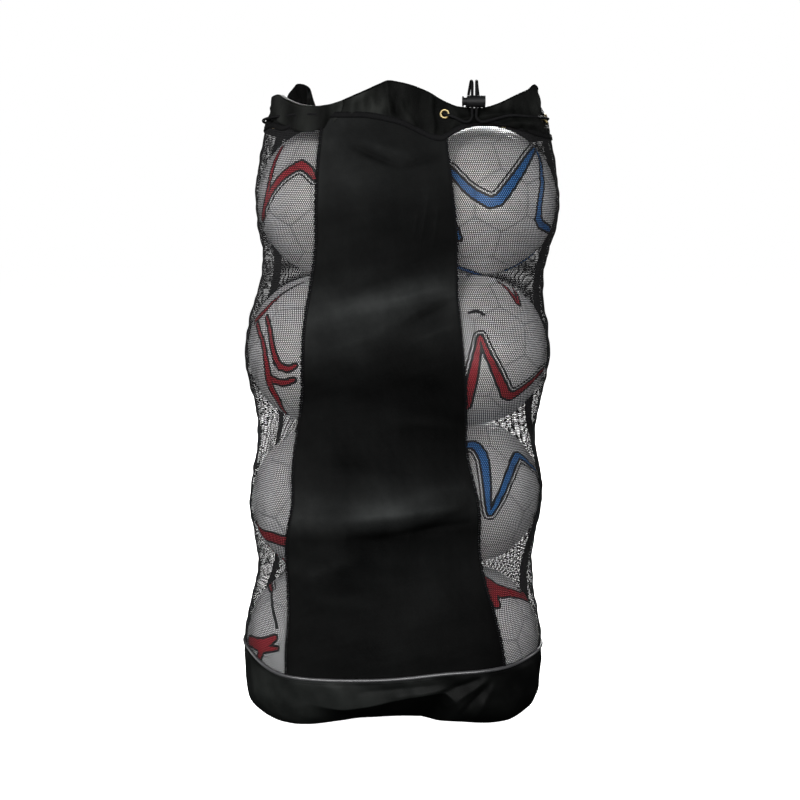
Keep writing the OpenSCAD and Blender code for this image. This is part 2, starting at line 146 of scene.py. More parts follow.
def ripple(p, size, seed, waves=7):
    """Gentle unevenness: a fixed sum of plane waves of about that size, around +-1."""
    rng = np.random.default_rng(seed)
    total = 0
    for _ in range(waves):
        k = rng.normal(size=3)
        k *= TAU / size * rng.uniform(0.6, 1.6) / norm(k)
        total = total + np.sin(p @ k + rng.uniform(0, TAU))
    return total / math.sqrt(waves)


def crease(p, x0, z0, x1, z1, width, depth):
    """A fold seen from the front, from (x0, z0) to (x1, z1): a ridge where depth is above 0."""
    s, e = np.array([x0, z0]), np.array([x1, z1])
    q = p[..., [0, 2]] - s
    t = (q @ (e - s)) / ((e - s) @ (e - s))
    d = norm(q - np.clip(t, 0, 1)[..., None] * (e - s), axis=-1)
    gain = np.sin(math.pi * np.clip(t, 0.02, 0.98)) ** 0.6
    return depth * gain / (1 + (d / width) ** 2) ** 1.5


def creases(p, rows):
    """The folds in rows of crease's six measures, in millimetres."""
    return sum(crease(p, *row) for row in np.array(rows) / 1000)


# Where the seams really run: they rise and dip round the bag
SEAM_KEYS = [
    (-180, 860), (-160, 862), (-148, 863), (-141, 857.5), (-135, 864.5), (-127, 871.8), (-118, 873.2),
    (-109, 872.5), (-101, 868.3), (-92, 861.4), (-84, 850.3), (-79, 843.4), (-74, 841.2), (-68, 851.7),
    (-62, 859.3), (-55, 861.4), (-47, 858.6), (-42, 854.7), (-37, 851), (-20, 850), (-5, 853.5), (40, 860),
    (120, 860),
]
PIPING_KEYS = [
    (-180, 112), (-165, 113), (-151, 109.4), (-143, 98.9), (-135, 90.5), (-127, 87.2), (-117, 84.8),
    (-103, 84.8), (-89, 86.4), (-73, 91.4), (-58, 97), (-47, 99.8), (-33, 106), (-19, 107.2), (0, 105),
    (40, 93), (90, 88), (130, 90), (160, 104),
]
seam_at, piping_at = partial(round_keys, SEAM_KEYS), partial(round_keys, PIPING_KEYS)

# The front panel's edges: part.scad's line, with the waves of sewn cloth
LEFT_EDGE = [
    (90, -131.9), (200, -132.2), (345, -121.6), (460, -128.6), (555, -126.4), (660, -128.6), (760, -125.5),
    (870, -126.4),
]
RIGHT_EDGE = [
    (90, -45.7), (160, -47.6), (200, -46.8), (250, -44.6), (320, -46.4), (400, -50.2), (440, -54.4),
    (485, -60), (540, -63.2), (600, -63.4), (650, -64.6), (760, -70.7), (820, -71.9), (860, -72.6),
]


def eased(keys, z):
    """The azimuth at height z of (millimetres up, azimuth) keys, with their corners rounded off."""
    fine = np.arange(-0.1, 1.1, 0.002)
    height, azimuth = np.array(keys).T
    kernel = np.hanning(41)
    soft = np.convolve(np.interp(fine, height / 1000, azimuth), kernel / kernel.sum(), "same")
    return np.interp(z, fine, soft)


# The side seams wind a little with the balls
RIGHT_SEAM = [(90, -3), (250, -3), (440, -2), (650, -9), (860, -9)]
LEFT_SEAM = [(90, 180), (250, 181), (440, 177), (650, 182), (860, 182)]
front_left, front_right = partial(eased, LEFT_EDGE), partial(eased, RIGHT_EDGE)
side_left, side_right = partial(eased, LEFT_SEAM), partial(eased, RIGHT_SEAM)


# ---- Mesh helpers ----
def mesh_object(name, points, faces):
    mesh = bpy.data.meshes.new(name)
    points = np.asarray(points, np.float32).reshape(-1, 3)
    faces = np.asarray(faces, np.int32)
    sides = faces.shape[1]
    mesh.vertices.add(len(points))
    mesh.vertices.foreach_set("co", points.ravel())
    mesh.loops.add(faces.size)
    mesh.loops.foreach_set("vertex_index", faces.ravel())
    mesh.polygons.add(len(faces))
    mesh.polygons.foreach_set("loop_start", np.arange(0, faces.size, sides, dtype=np.int32))
    mesh.update(calc_edges=True)
    mesh.validate()
    mesh.polygons.foreach_set("use_smooth", np.ones(len(mesh.polygons), bool))
    obj = bpy.data.objects.new(name, mesh)
    scene.collection.objects.link(obj)
    return obj


def set_attribute(obj, name, values):
    values = np.asarray(values, np.float32)
    kind = "FLOAT" if values.ndim == 1 else "FLOAT_VECTOR"
    layer = obj.data.attributes.new(name, kind, "POINT")
    layer.data.foreach_set("value" if kind == "FLOAT" else "vector", values.ravel())


def set_cloth(obj, across, along, shape):
    """Where each point lies on the flat cloth, in metres, for the weave to follow."""
    s, h = np.broadcast_to(across, shape), np.broadcast_to(along, shape)
    set_attribute(obj, "cloth", np.stack([s, h, 0 * s], -1).reshape(-1, 3))


def set_gain(obj, value):
    set_attribute(obj, "gain", np.full(len(obj.data.vertices), value))


def thicken(obj, thick, offset=-1):
    """Makes the sheet solid: inwards, or outwards where offset is 1."""
    solid = obj.modifiers.new("solid", "SOLIDIFY")
    solid.thickness, solid.offset = thick, offset
    graph = bpy.context.evaluated_depsgraph_get()
    mesh = bpy.data.meshes.new_from_object(
        obj.evaluated_get(graph), preserve_all_data_layers=True, depsgraph=graph
    )
    obj.modifiers.clear()
    obj.data = mesh


def grid_faces(rows, cols, ring):
    r, c = np.meshgrid(np.arange(rows - 1), np.arange(cols if ring else cols - 1), indexing="ij")
    a, b = r * cols + c, r * cols + (c + 1) % cols
    return np.stack([a, b, b + cols, a + cols], -1).reshape(-1, 4)


def grid_piece(name, grid, ring=False, thick=0.0, gain=None):
    """A sheet from rows of points that go round the bag, seen from outside; thick makes it solid inwards."""
    rows, cols = grid.shape[:2]
    obj = mesh_object(name, grid, grid_faces(rows, cols, ring))
    s = np.cumsum(norm(np.diff(grid, axis=1, prepend=grid[:, :1]), axis=-1), 1)
    h = np.cumsum(norm(np.diff(grid, axis=0, prepend=grid[:1]), axis=-1), 0)
    set_cloth(obj, s, h, (rows, cols))
    # The piece's per-point attribute of painted light and shade, where one is given
    if gain is not None:
        set_attribute(obj, "gain", np.broadcast_to(gain, (rows, cols)).reshape(-1))
    if thick:
        thicken(obj, thick)
    return obj


def finish_piece(obj, body, material, *nodes, slot=None):
    obj.data.materials.clear()
    obj.data.materials.append(material)
    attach(obj, body)
    if nodes:
        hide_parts(*nodes)


def distance_along(p):
    """How far along the line of points each point is."""
    return np.concatenate([[0], np.cumsum(norm(np.diff(p, axis=0), axis=1))])


def cap_ends(obj, around, rings):
    """Closes both ends of a piece made of rings of points, with around points in each."""
    edit = bmesh.new()
    edit.from_mesh(obj.data)
    edit.verts.ensure_lookup_table()
    for start in (0, (rings - 1) * around):
        edit.faces.new([edit.verts[start + j] for j in range(around)])
    bmesh.ops.recalc_face_normals(edit, faces=edit.faces)
    edit.to_mesh(obj.data)
    edit.free()


def resample(path, step, loop=False):
    """Points at an even step along a smooth curve through path."""
    p = np.asarray(path, float)
    n = len(p)
    fine = []
    t = np.linspace(0, 1, 12, endpoint=False)[:, None]
    for i in range(n if loop else n - 1):
        near = range(i - 1, i + 3)
        a, b, c, d = (p[j % n if loop else min(max(j, 0), n - 1)] for j in near)
        bend, twist = 2 * a - 5 * b + 4 * c - d, 3 * b - a - 3 * c + d
        fine.append(0.5 * (2 * b + (c - a) * t + bend * t**2 + twist * t**3))
    fine = np.concatenate(fine + [p[:1] if loop else p[-1:]])
    s = distance_along(fine)
    count = max(int(round(s[-1] / step)), 3)
    at = np.linspace(0, s[-1], count, endpoint=not loop)
    return np.stack([np.interp(at, s, fine[:, k]) for k in range(3)], 1)


def frames_along(p, loop=False):
    """Unit tangent, side and up at each point, turned as little as possible from one to the next."""
    t = unit(np.roll(p, -1, 0) - np.roll(p, 1, 0) if loop else np.gradient(p, axis=0))
    side = np.cross(t[0], [0, 0, 1] if abs(t[0][2]) < 0.9 else [0, 1, 0])
    sides = []
    for k in range(len(p)):
        side = unit(side - t[k] * (side @ t[k]))
        sides.append(side)
    sides = np.array(sides)
    return t, sides, np.cross(t, sides)


def tube(name, path, radius, sides=12, loop=False, pattern=None):
    """A tube along path; pattern(angle, distance) is its radius as a share of radius."""
    p = np.asarray(path, float)
    _, side, up = frames_along(p, loop)
    ang = np.linspace(0, TAU, sides, endpoint=False)
    s = distance_along(p)
    r = radius * np.broadcast_to(pattern(ang[None, :], s[:, None]) if pattern else 1.0, (len(p), sides))
    grid = p[:, None] + r[..., None] * (
        np.cos(ang)[None, :, None] * side[:, None] + np.sin(ang)[None, :, None] * up[:, None]
    )
    faces = grid_faces(len(p), sides, True)
    if loop:
        k = np.arange(sides)
        last = (len(p) - 1) * sides
        faces = np.concatenate([faces, np.stack([last + k, last + (k + 1) % sides, (k + 1) % sides, k], 1)])
    obj = mesh_object(name, grid, faces[:, ::-1])
    set_cloth(obj, ang * radius, s[:, None], r.shape)
    if not loop:
        cap_ends(obj, sides, len(p))
    return obj


def braid(ang, s):
    return 1 + 0.07 * np.cos(4 * ang + TAU * s / 0.0065) * np.cos(4 * ang - TAU * s / 0.0065)


def stitches(name, rows, pitch, length, radius, material):
    """Rows of short thread stitches on the bag; each row is (points, outward directions)."""
    points, faces = [], []
    ang = np.linspace(0, TAU, 6, endpoint=False)
    stations = np.array([-0.5, -0.28, 0.0, 0.28, 0.5])
    sizes = np.array([0.35, 0.9, 1.0, 0.9, 0.35])
    count = 0
    for path, normals in rows:
        s = distance_along(path)
        for c in np.arange(pitch / 2, s[-1], pitch):
            q = np.stack([np.interp(c + stations * length, s, path[:, k]) for k in range(3)], 1)
            n = unit(np.array([np.interp(c, s, normals[:, k]) for k in range(3)]))
            if norm(q[-1] - q[0]) < 1e-5:
                continue
            w = np.cross(unit(q[-1] - q[0]), n)
            lift = n * radius * 0.45 * (1 - (2 * stations[:, None]) ** 2)
            ring = (q + lift)[:, None] + radius * sizes[:, None, None] * (
                np.cos(ang)[None, :, None] * w + np.sin(ang)[None, :, None] * n * 0.8
            )
            points.append(ring.reshape(-1, 3))
            faces.append(grid_faces(5, 6, True)[:, ::-1] + count)
            count += 30
    obj = mesh_object(name, np.concatenate(points), np.concatenate(faces))
    finish_piece(obj, "bag", material)


# ---- Materials ----
class Nodes:
    """A material under construction."""

    def __init__(self, name):
        self.material = bpy.data.materials.new(name)
        self.material.use_nodes = True
        self.tree = self.material.node_tree
        self.shader = self.tree.nodes["Principled BSDF"]

    def put(self, socket, value):
        """Links value into the socket if it is another node's output, and otherwise sets it there."""
        if isinstance(value, bpy.types.NodeSocket):
            self.tree.links.new(value, socket)
        else:
            socket.default_value = value

    def feed(self, name, value):
        self.put(self.shader.inputs[name], value)

    def add(self, kind, out=0, **values):
        """One output of a new node that has these inputs and settings."""
        node = self.tree.nodes.new("ShaderNode" + kind)
        for key, value in values.items():
            if key in node.inputs:
                self.put(node.inputs[key], value)
            else:
                setattr(node, key, value)
        return node.outputs[out]

    def maths(self, operation, *values):
        out = self.add("Math", operation=operation)
        for socket, value in zip(out.node.inputs, values):
            self.put(socket, value)
        return out

    def noise(self, vector, scale, detail=3.0, rough=0.55):
        return self.add("TexNoise", "Fac", Vector=vector, Scale=scale, Detail=detail, Roughness=rough)

    def place(self):
        return self.add("TexCoord", "Object")

    def attribute(self, name, out="Fac"):
        return self.add("Attribute", out, attribute_name=name)

    def ramp(self, value, stops, interpolation="LINEAR"):
        out = self.add("ValToRGB", "Color", Fac=value)
        ramp = out.node.color_ramp
        ramp.interpolation = interpolation
        while len(ramp.elements) < len(stops):
            ramp.elements.new(0.5)
        for element, (at, colour) in zip(ramp.elements, stops):
            element.position = at
            element.color = (*colour, 1)
        return out

    def span(self, value, low, high):
        return self.add("MapRange", "Result", Value=value, **{"To Min": low, "To Max": high})

    def bump(self, height, distance, strength=1.0, under=None):
        below = {"Normal": under} if under else {}
        return self.add("Bump", "Normal", Height=height, Distance=distance, Strength=strength, **below)

    def painted_light(self, colour):
        """The colour, scaled by the piece's attribute of painted light and shade."""
        return self.add("VectorMath", operation="SCALE", Vector=colour, Scale=self.attribute("gain"))


def woven(name, low, high, weave, relief, rough, twill=False, painted_light=False):
    """Woven cloth: threads at their real pitch and uneven dye.

    With painted light on, the colour is scaled by the piece's attribute of painted light and shade.
    """
    m = Nodes(name)
    place = m.place()
    thread = m.add("SeparateXYZ", Vector=m.attribute("cloth", "Vector")).node.outputs
    across = m.maths("MULTIPLY", thread["X"], TAU / weave)
    along = m.maths("MULTIPLY", thread["Y"], TAU / weave)
    if twill:
        weave_height = m.maths("SINE", m.maths("ADD", across, along))
    else:
        weave_height = m.maths("MULTIPLY", m.maths("SINE", across), m.maths("SINE", along))
    uneven = m.noise(place, 9.0, 5.0, 0.6)
    fine = m.noise(place, 900.0, 2.0)
    tone = m.maths("ADD", m.maths("MULTIPLY", uneven, 0.75), m.maths("MULTIPLY", fine, 0.25))
    tone = m.maths("ADD", tone, m.maths("MULTIPLY", weave_height, 0.05))
    colour = m.ramp(tone, [(0.32, low), (0.72, high)])
    if painted_light:
        colour = m.painted_light(colour)
    m.feed("Base Color", colour)
    m.feed("Roughness", m.span(uneven, rough - 0.07, rough + 0.09))
    soft = m.bump(m.noise(place, 160.0, 3.0), relief * 2.5, 0.5)
    m.feed("Normal", m.bump(weave_height, relief, 1.0, soft))
    m.feed("Specular IOR Level", 0.02)
    return m.material


def coated(name, low, high, rough, gloss, painted_light=False):
    """Smooth coated cloth with a fine pebbled grain and scuffs."""
    m = Nodes(name)
    place = m.place()
    patches = m.noise(place, 14.0, 5.0, 0.6)
    colour = m.ramp(patches, [(0.3, low), (0.75, high)])
    # With painted light on, the colour is scaled by the piece's attribute of painted light and shade
    if painted_light:
        colour = m.painted_light(colour)
    m.feed("Base Color", colour)
    scuff = m.noise(place, 60.0, 6.0, 0.7)
    m.feed("Roughness", m.span(scuff, rough - 0.12, rough + 0.14))
    grain = m.add("TexVoronoi", "Distance", Vector=place, Scale=900.0)
    under = m.bump(scuff, 0.0006, 0.35)
    m.feed("Normal", m.bump(grain, 0.00012, 0.5, under))
    m.feed("Specular IOR Level", gloss)
    return m.material


def plastic(name, colour, rough):
    """Moulded plastic with a fine spark-eroded texture."""
    m = Nodes(name)
    place = m.place()
    patches = m.noise(place, 90.0, 3.0)
    darker = tuple(0.7 * c for c in colour)
    m.feed("Base Color", m.ramp(patches, [(0.3, darker), (0.7, colour)]))
    m.feed("Roughness", m.span(m.noise(place, 500.0, 4.0), rough - 0.08, rough + 0.1))
    m.feed("Normal", m.bump(m.noise(place, 3000.0, 2.0), 0.00005, 0.6))
    m.feed("Specular IOR Level", 0.10)
    return m.material


def plated(name, low, high, rough):
    """Plated metal, a little tarnished, with fine scratches."""
    m = Nodes(name)
    place = m.place()
    tarnish = m.noise(place, 260.0, 5.0, 0.65)
    m.feed("Base Color", m.ramp(tarnish, [(0.35, low), (0.6, high)]))
    m.feed("Metallic", 1.0)
    m.feed("Roughness", m.span(tarnish, rough + 0.15, rough))
    scratch = m.add("Mapping", Vector=place, Scale=(400, 400, 4000))
    m.feed("Normal", m.bump(m.noise(scratch, 1.0, 3.0), 0.00003, 0.5))
    return m.material


def painted(name, colour):
    """Glossy white cover with painted bands, a black outline round each and a thin line along one side."""
    m = Nodes(name)
    place = m.place()
    white, ink = (0.90, 0.90, 0.91), (0.010, 0.010, 0.012)
    # Metres from the band's edge: ink up to outline, and a thin line as far out as aside
    span, outline, aside, half_line = 0.040, 0.0034, 0.0070, 0.0012
    band = m.attribute("band")
    share = m.maths("ADD", m.maths("MULTIPLY", band, 1 / span), 0.5)
    paint = m.ramp(share, [(0.0, colour), (0.5, ink), (0.5 + outline / span, white)], "CONSTANT")
    thin = m.maths("COMPARE", band, aside, half_line)
    thin = m.maths("MULTIPLY", thin, m.maths("GREATER_THAN", m.attribute("side"), 0.5))
    wear = m.ramp(m.noise(place, 30.0, 4.0), [(0.3, (0.88, 0.88, 0.89)), (0.7, (1.0, 1.0, 1.0))])
    seam = m.ramp(m.attribute("seam"), [(0.0, (0.35, 0.35, 0.36)), (0.6, (1.0, 1.0, 1.0))])

    def mix(kind, share, a, b):
        return m.add("Mix", "Result", data_type="RGBA", blend_type=kind, Factor=share, A=a, B=b)

    colour_out = mix("MIX", thin, paint, (*ink, 1))
    colour_out = mix("MULTIPLY", 1.0, colour_out, wear)
    m.feed("Base Color", mix("MULTIPLY", 0.8, colour_out, seam))
    m.feed("Roughness", m.span(m.noise(place, 45.0, 4.0), 0.36, 0.52))
    dimple = m.add("TexVoronoi", "Distance", Vector=place, Scale=520.0)
    m.feed("Normal", m.bump(dimple, 0.00015, 0.45))
    return m.material


NYLON = woven(
    "black_nylon", (0.0030, 0.0033, 0.0033), (0.0105, 0.0110, 0.0108), 0.0011, 0.00007, 0.58, painted_light=True
)
COLLAR_NYLON = woven(
    "collar_nylon", (0.0022, 0.0024, 0.0022), (0.0080, 0.0085, 0.0078), 0.0009, 0.00006, 0.55, painted_light=True
)
COATED = coated("coated_cloth", (0.0028, 0.0032, 0.0030), (0.0095, 0.0103, 0.0097), 0.50, 0.03, painted_light=True)
PIPING = coated("piping_vinyl", (0.018, 0.018, 0.019), (0.038, 0.038, 0.040), 0.32, 0.4)
TAPE = woven(
    "seam_tape", (0.0016, 0.0016, 0.0017), (0.0050, 0.0050, 0.0052), 0.0014, 0.00012, 0.65, twill=True
)
WEBBING = woven(
    "webbing", (0.0030, 0.0030, 0.0032), (0.0095, 0.0095, 0.0098), 0.0030, 0.00030, 0.56, twill=True
)
PAD = woven("pad_cloth", (0.0034, 0.0034, 0.0036), (0.0105, 0.0105, 0.0108), 0.0012, 0.00008, 0.62)
NET = woven("net_yarn", (0.0040, 0.0040, 0.0043), (0.0120, 0.0120, 0.0125), 0.0006, 0.00005, 0.55)
CORD = woven("braided_cord", (0.0020, 0.0020, 0.0022), (0.0070, 0.0070, 0.0073), 0.0013, 0.00012, 0.6)
THREAD = woven("thread", (0.0012, 0.0012, 0.0014), (0.0035, 0.0035, 0.0037), 0.0004, 0.00003, 0.6)
LOCK = plastic("lock_plastic", (0.0040, 0.0040, 0.0043), 0.50)
BRASS = plated("old_brass", (0.30, 0.22, 0.09), (0.66, 0.53, 0.27), 0.24)
STEEL = plated("ring_steel", (0.28, 0.28, 0.29), (0.55, 0.55, 0.56), 0.28)
BALL_BLUE = painted("ball_blue", (0.040, 0.230, 0.640))
BALL_RED = painted("ball_red", (0.580, 0.018, 0.035))


# The hard parts are the CAD's own pieces
for cad_node, cad_material in {
    "eyelets": BRASS, "eyelet_washers": BRASS, "cord_lock_barrel": LOCK, "cord_lock_button": LOCK,
    "cord_lock_spring": STEEL, "strap_ring_top": STEEL, "strap_ring_bottom": STEEL, "strap_slider": LOCK,
}.items():
    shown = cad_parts[cad_node].data.materials
    shown.clear()
    shown.append(cad_material)

# ---- Cords ----
EYELET_AZ = [-129, -72, -27, 18, 62, 106, 148, 190]
EYELET_Z, CORD_D = 0.876, 0.004
lock_origin = skin(-60, EYELET_Z, OUTSIDE)


def from_lock(x, y, z):
    """A point in the lock's frame: x along the collar, y out of the bag, z up, in millimetres."""
    return lock_origin * [1, 1, 0] + np.array([x, -y, z]) / 1000


# One tail's way up from the lock and over, (out, up) in millimetres, and how far the two spread
TAIL_ROUTE = [
    (0, 876), (0, 884), (0, 892), (0, 900), (0, 906), (0, 911), (-1.5, 915.5), (-5, 919), (-10, 920.5),
    (-15, 919), (-19, 915), (-22, 909), (-24, 902), (-25.5, 894), (-26.5, 886), (-27, 878), (-27, 870),
]
TAIL_SPREAD = [0] * 7 + [0.3, 0.8, 1.4, 2, 3, 4, 5, 6, 6.5, 7]
for tail_name, s in (("a", -1), ("b", 1)):
    route = [from_lock(s * (2.9 + w), 12 + y, z) for (y, z), w in zip(TAIL_ROUTE, TAIL_SPREAD)]
    line = resample(route, 0.0008)
    length = float(distance_along(line)[-1])
    tail = tube("cord_tail_" + tail_name, line, CORD_D / 2 * 0.97, 16, pattern=braid)
    finish_piece(tail, "bag", CORD, "cord_tail_" + tail_name, slot="cord")
    # An overhand knot: the cord goes once round itself, pulled tight
    end = np.array(route[-1]) - [0, 0, 0.0042]
    turns = np.linspace(0, TAU, 60, endpoint=False)
    knot_x = 0.0024 * (np.sin(turns) + 0.9 * np.sin(2 * turns))
    knot_y = 0.0024 * (np.cos(turns) - 0.9 * np.cos(2 * turns))
    knot_line = end + np.stack([knot_x, knot_y, -0.0022 * np.sin(3 * turns)], 1)
    knot_line = resample(knot_line, 0.0007, True)
    knot = tube("tail_knot_" + tail_name, knot_line, CORD_D / 2 * 0.95, 12, True, braid)
    finish_piece(knot, "bag", CORD, "tail_knot_" + tail_name, slot="cord")

# The cord runs this far off the collar, inside it and outside it in turn
STAND = 0.0048
LOBE_SIDE = [-1, 1] * 4


def beside(a, side):
    return skin(a, EYELET_Z, OUTSIDE + STAND if side > 0 else OUTSIDE - 0.0015 - STAND)


def lobe_end(i):
    return EYELET_AZ[i + 1] if i < 7 else EYELET_AZ[0] + 360


def lobe_path(i):
    wide = lobe_end(i) - EYELET_AZ[i]
    return [beside(EYELET_AZ[i] + wide * s, LOBE_SIDE[i]) for s in (0.12, 0.3, 0.5, 0.7, 0.88)]


def pass_path(i):
    at, side = skin(EYELET_AZ[i], EYELET_Z), LOBE_SIDE[i - 1]
    return [at + d * outward(EYELET_AZ[i], EYELET_Z) for d in (side * STAND, 0, -side * STAND)]


LOCK_LEFT = [(-2.9, 12, 876), (-2.9, 12, 871), (-6, 11, 866), (-13, 9, 865), (-26, 7, 871)]
LOCK_RIGHT = [(15, 9, 865), (7, 11, 866), (2.9, 12, 871), (2.9, 12, 876)]
string = [from_lock(*p) for p in LOCK_LEFT]
string += pass_path(1)[::-1] + lobe_path(0)[::-1]
for i in range(8, 2, -1):
    string += pass_path(i % 8)[::-1] + lobe_path(i - 1)[::-1]
string += pass_path(2)[::-1]
string += [beside(-72 + 45 * s, 1) - [0, 0, 0.004 * (1 - s)] for s in (0.85, 0.68, 0.52)]
string += [from_lock(*p) for p in LOCK_RIGHT]
drawstring = tube("drawstring", resample(string, 0.0009), CORD_D / 2 * 0.97, 14, pattern=braid)
finish_piece(drawstring, "bag", CORD, "drawstring", slot="cord")


# ---- Balls ----
def unit_sphere(cuts):
    edit = bmesh.new()
    bmesh.ops.create_icosphere(edit, subdivisions=cuts, radius=1)
    points = np.array([v.co for v in edit.verts])
    faces = np.array([[v.index for v in f.verts] for f in edit.faces])
    edit.free()
    return points, faces


def panel_centres():
    """The 12 pentagon and 20 hexagon middles of a football, and how far out each panel's plane lies."""
    g = (1 + math.sqrt(5)) / 2
    pent = np.array([v for x in (-1, 1) for y in (-g, g) for v in ((0, x, y), (x, y, 0), (y, 0, x))], float)
    pent /= norm(pent[0])
    edge = np.sort(norm(pent[0] - pent[1:], axis=1))[0] * 1.01
    close = norm(pent[:, None] - pent[None], axis=-1) < edge
    hexa = [
        pent[i] + pent[j] + pent[k]
        for i in range(12) for j in range(i) for k in range(j)
        if close[i, j] and close[j, k] and close[i, k]
    ]
    hexa = np.array(hexa) / norm(hexa[0])
    return np.concatenate([pent / 0.9393, hexa / 0.9149])


SPHERE, SPHERE_FACES = unit_sphere(7)
PANELS = panel_centres()


def chaikin(p):
    """A polyline with its corners cut."""
    a, b = p[:-1], p[1:]
    q = np.stack([0.8 * a + 0.2 * b, 0.2 * a + 0.8 * b], 1).reshape(-1, 3)
    return np.concatenate([p[:1], q, p[-1:]])


def paint_stroke(band, side, stroke, facing_to, lined):
    """Adds a stroke to the distance from the nearest band's edge, and to which side of that band a point is.

    The stroke's points are (right, up, half width): hundredths of the ball's radius as seen along
    facing_to, and of BAND.
    """
    f = unit(facing_to)
    right = unit(np.cross([0, 0, 1], f))
    up = np.cross(f, right)
    stroke = chaikin(np.array(stroke) / 100)
    flat, wide = stroke[:, :2], stroke[:, 2] * BAND
    size = norm(flat, axis=1)
    flat = flat * np.minimum(1, 0.985 / np.maximum(size, 1e-9))[:, None]
    deep = np.sqrt(1 - (flat**2).sum(1))
    p = flat[:, :1] * right + flat[:, 1:] * up + deep[:, None] * f
    for a, b, w0, w1 in zip(p[:-1], p[1:], wide[:-1], wide[1:]):
        t = np.clip(((SPHERE - a) @ (b - a)) / ((b - a) @ (b - a)), 0, 1)
        q = unit(a + t[:, None] * (b - a))
        d = norm(SPHERE - q, axis=1) * BALL_R - (w0 + (w1 - w0) * t)
        closer = d < band
        band[closer] = d[closer]
        side[closer] = (np.sign(SPHERE @ np.cross(a, b)) * lined)[closer]


# Each ball's bands, as strokes on the side that faces the viewer; the first has a thin line on its left
BAND = 0.0052
STROKES = {
    11: [
        [(-42, 41, 60), (-15, 12, 90), (17, -5, 125), (43, 29, 100), (60, 56, 60), (71, 73, 10)],
        [(71, 73, 10), (79, 29, 60), (75, 0, 60), (73, -27, 90), (93, -40, 50)],
        [(-36, -36, 120), (-30, -46, 80)],
        [(-36, -85, 100), (-16, -92, 90), (0, -98, 60)],
        [(72, -68, 30), (52, -82, 60), (33, -92, 30)],
    ],
    8: [
        [(-8, -72, 120), (0, -38, 110), (6, -6, 70), (9, 21, 20), (17, 0, 50), (32, -31, 80),
         (46, -63, 120), (68, -49, 70), (94, -25, 30)],
        [(34, 91, 10), (48, 77, 30), (60, 57, 30), (58, 71, 20), (51, 87, 10)],
        [(-5, 47, -20), (5, 50, -20), (15, 45, -20)],
    ],
    5: [
        [(98, 23, 10), (80, 41, 50), (67, 49, 80), (62, 39, 90), (53, 16, 80), (40, -15, 60), (29, -34, 30),
         (27, -13, 60), (25, 16, 90), (21, 46, 110), (10, 61, 110), (-5, 60, 90)],
    ],
    2: [
        [(24, 72, 240), (40, 61, 220), (62, 59, 120), (84, 52, 80)],
        [(32, 60, 180), (40, 42, 90)],
    ],
    10: [
        [(-22, 30, 60), (-32, 42, 90), (-42, 47, 110), (-68, 29, 90), (-87, 0, 60), (-94, -28, 10)],
        [(-66, 70, 40), (-77, 45, 50), (-85, 10, 50), (-91, -22, 20)],
    ],
    7: [
        [(-24, 89, -10), (-42, 80, -10), (-60, 68, 20), (-76, 50, 70), (-88, 39, 60)],
        [(-72, 43, 20), (-67, 23, 40), (-64, 3, 50), (-58, -20, 80), (-44, -25, 50), (-35, -20, 30)],
        [(-85, 34, 40), (-76, 7, 30), (-72, -20, 70), (-69, -47, 100), (-60, -63, 70), (-49, -86, 20)],
        [(-67, -38, 80), (-51, -43, 60), (-37, -38, 40)],
    ],
    4: [
        [(-96, -31, 40), (-85, -45, 140), (-72, -49, 150), (-52, -54, 140)],
        [(-83, -62, 20), (-70, -74, 40), (-55, -84, 50)],
    ],
    1: [
        [(-96, -4, 110), (-78, -11, 160), (-60, -1, 60)],
        [(-78, -11, 130), (-82, -29, 60)],
        [(-80, -15, 100), (-57, -15, 30)],
        [(-67, 71, -20), (-57, 12, -20)],
    ],
}
LINED = (11, 8, 5, 10)
BLUE_BALLS = (5, 11, 3, 9)
for i in range(1, 13):
    k, az = (i - 1) // 3, BALL_AZ[(i - 1) % 3]
    ang = math.radians(az + TURN[k])
    middle = SHIFT_X[k], SHIFT_Y[k], FIRST_Z + k * PITCH
    centre = np.array(middle) + RING_R * np.array([math.cos(ang), math.sin(ang), 0])
    seen = i in STROKES
    ahead = np.array(CAMERA_AT) - centre if seen else np.array([0.35, 1.0, 0.1])
    band, side = np.full(len(SPHERE), 0.020), np.zeros(len(SPHERE))
    usual = STROKES[(11, 8, 5, 8)[k]]
    plan = [(0, STROKES.get(i, usual))] + [(turn, usual[:1]) for turn in (120, 195 if seen else 240)]
    for turn, strokes in plan:
        c, s = math.cos(math.radians(turn)), math.sin(math.radians(turn))
        there = np.array([[c, -s, 0], [s, c, 0], [0, 0, 1]]) @ ahead
        for order, stroke in enumerate(strokes):
            paint_stroke(band, side, stroke, there, order == 0 and (turn > 0 or not seen or i in LINED))
    tilt = Matrix.Rotation(0.7 * i, 3, Vector((math.cos(i), math.sin(2 * i), 0.4)).normalized())
    turned = SPHERE @ np.array(tilt)
    near = np.sort(turned @ PANELS.T, 1)
    best = np.argsort(turned @ PANELS.T, 1)[:, -2:]
    apart = norm(PANELS[best[:, 1]] - PANELS[best[:, 0]], axis=1)
    seam = (near[:, -1] - near[:, -2]) / apart * BALL_R
    radius = BALL_R - 0.0002 - 0.0011 * np.exp(-((seam / 0.0016) ** 2)) - 0.0006 * np.exp(-seam / 0.010)
    ball = mesh_object(f"ball_{i}_cover", centre + SPHERE * radius[:, None], SPHERE_FACES)
    set_attribute(ball, "band", band)
    set_attribute(ball, "side", side)
    set_attribute(ball, "seam", np.clip(seam / 0.0035, 0, 1))
    cover = BALL_BLUE if i in BLUE_BALLS else BALL_RED
    finish_piece(ball, f"ball_{i}_body", cover, f"ball_{i}", slot="ball_cover")


# ---- Net ----
CELL = 0.0029
YARN, BACK_YARN = 0.00122, 0.00165
# The net is worked out on a table of points this far apart round the bag and up it
S_STEP, Z_STEP = 0.0025, 0.004
NET_FOOT = 0.08


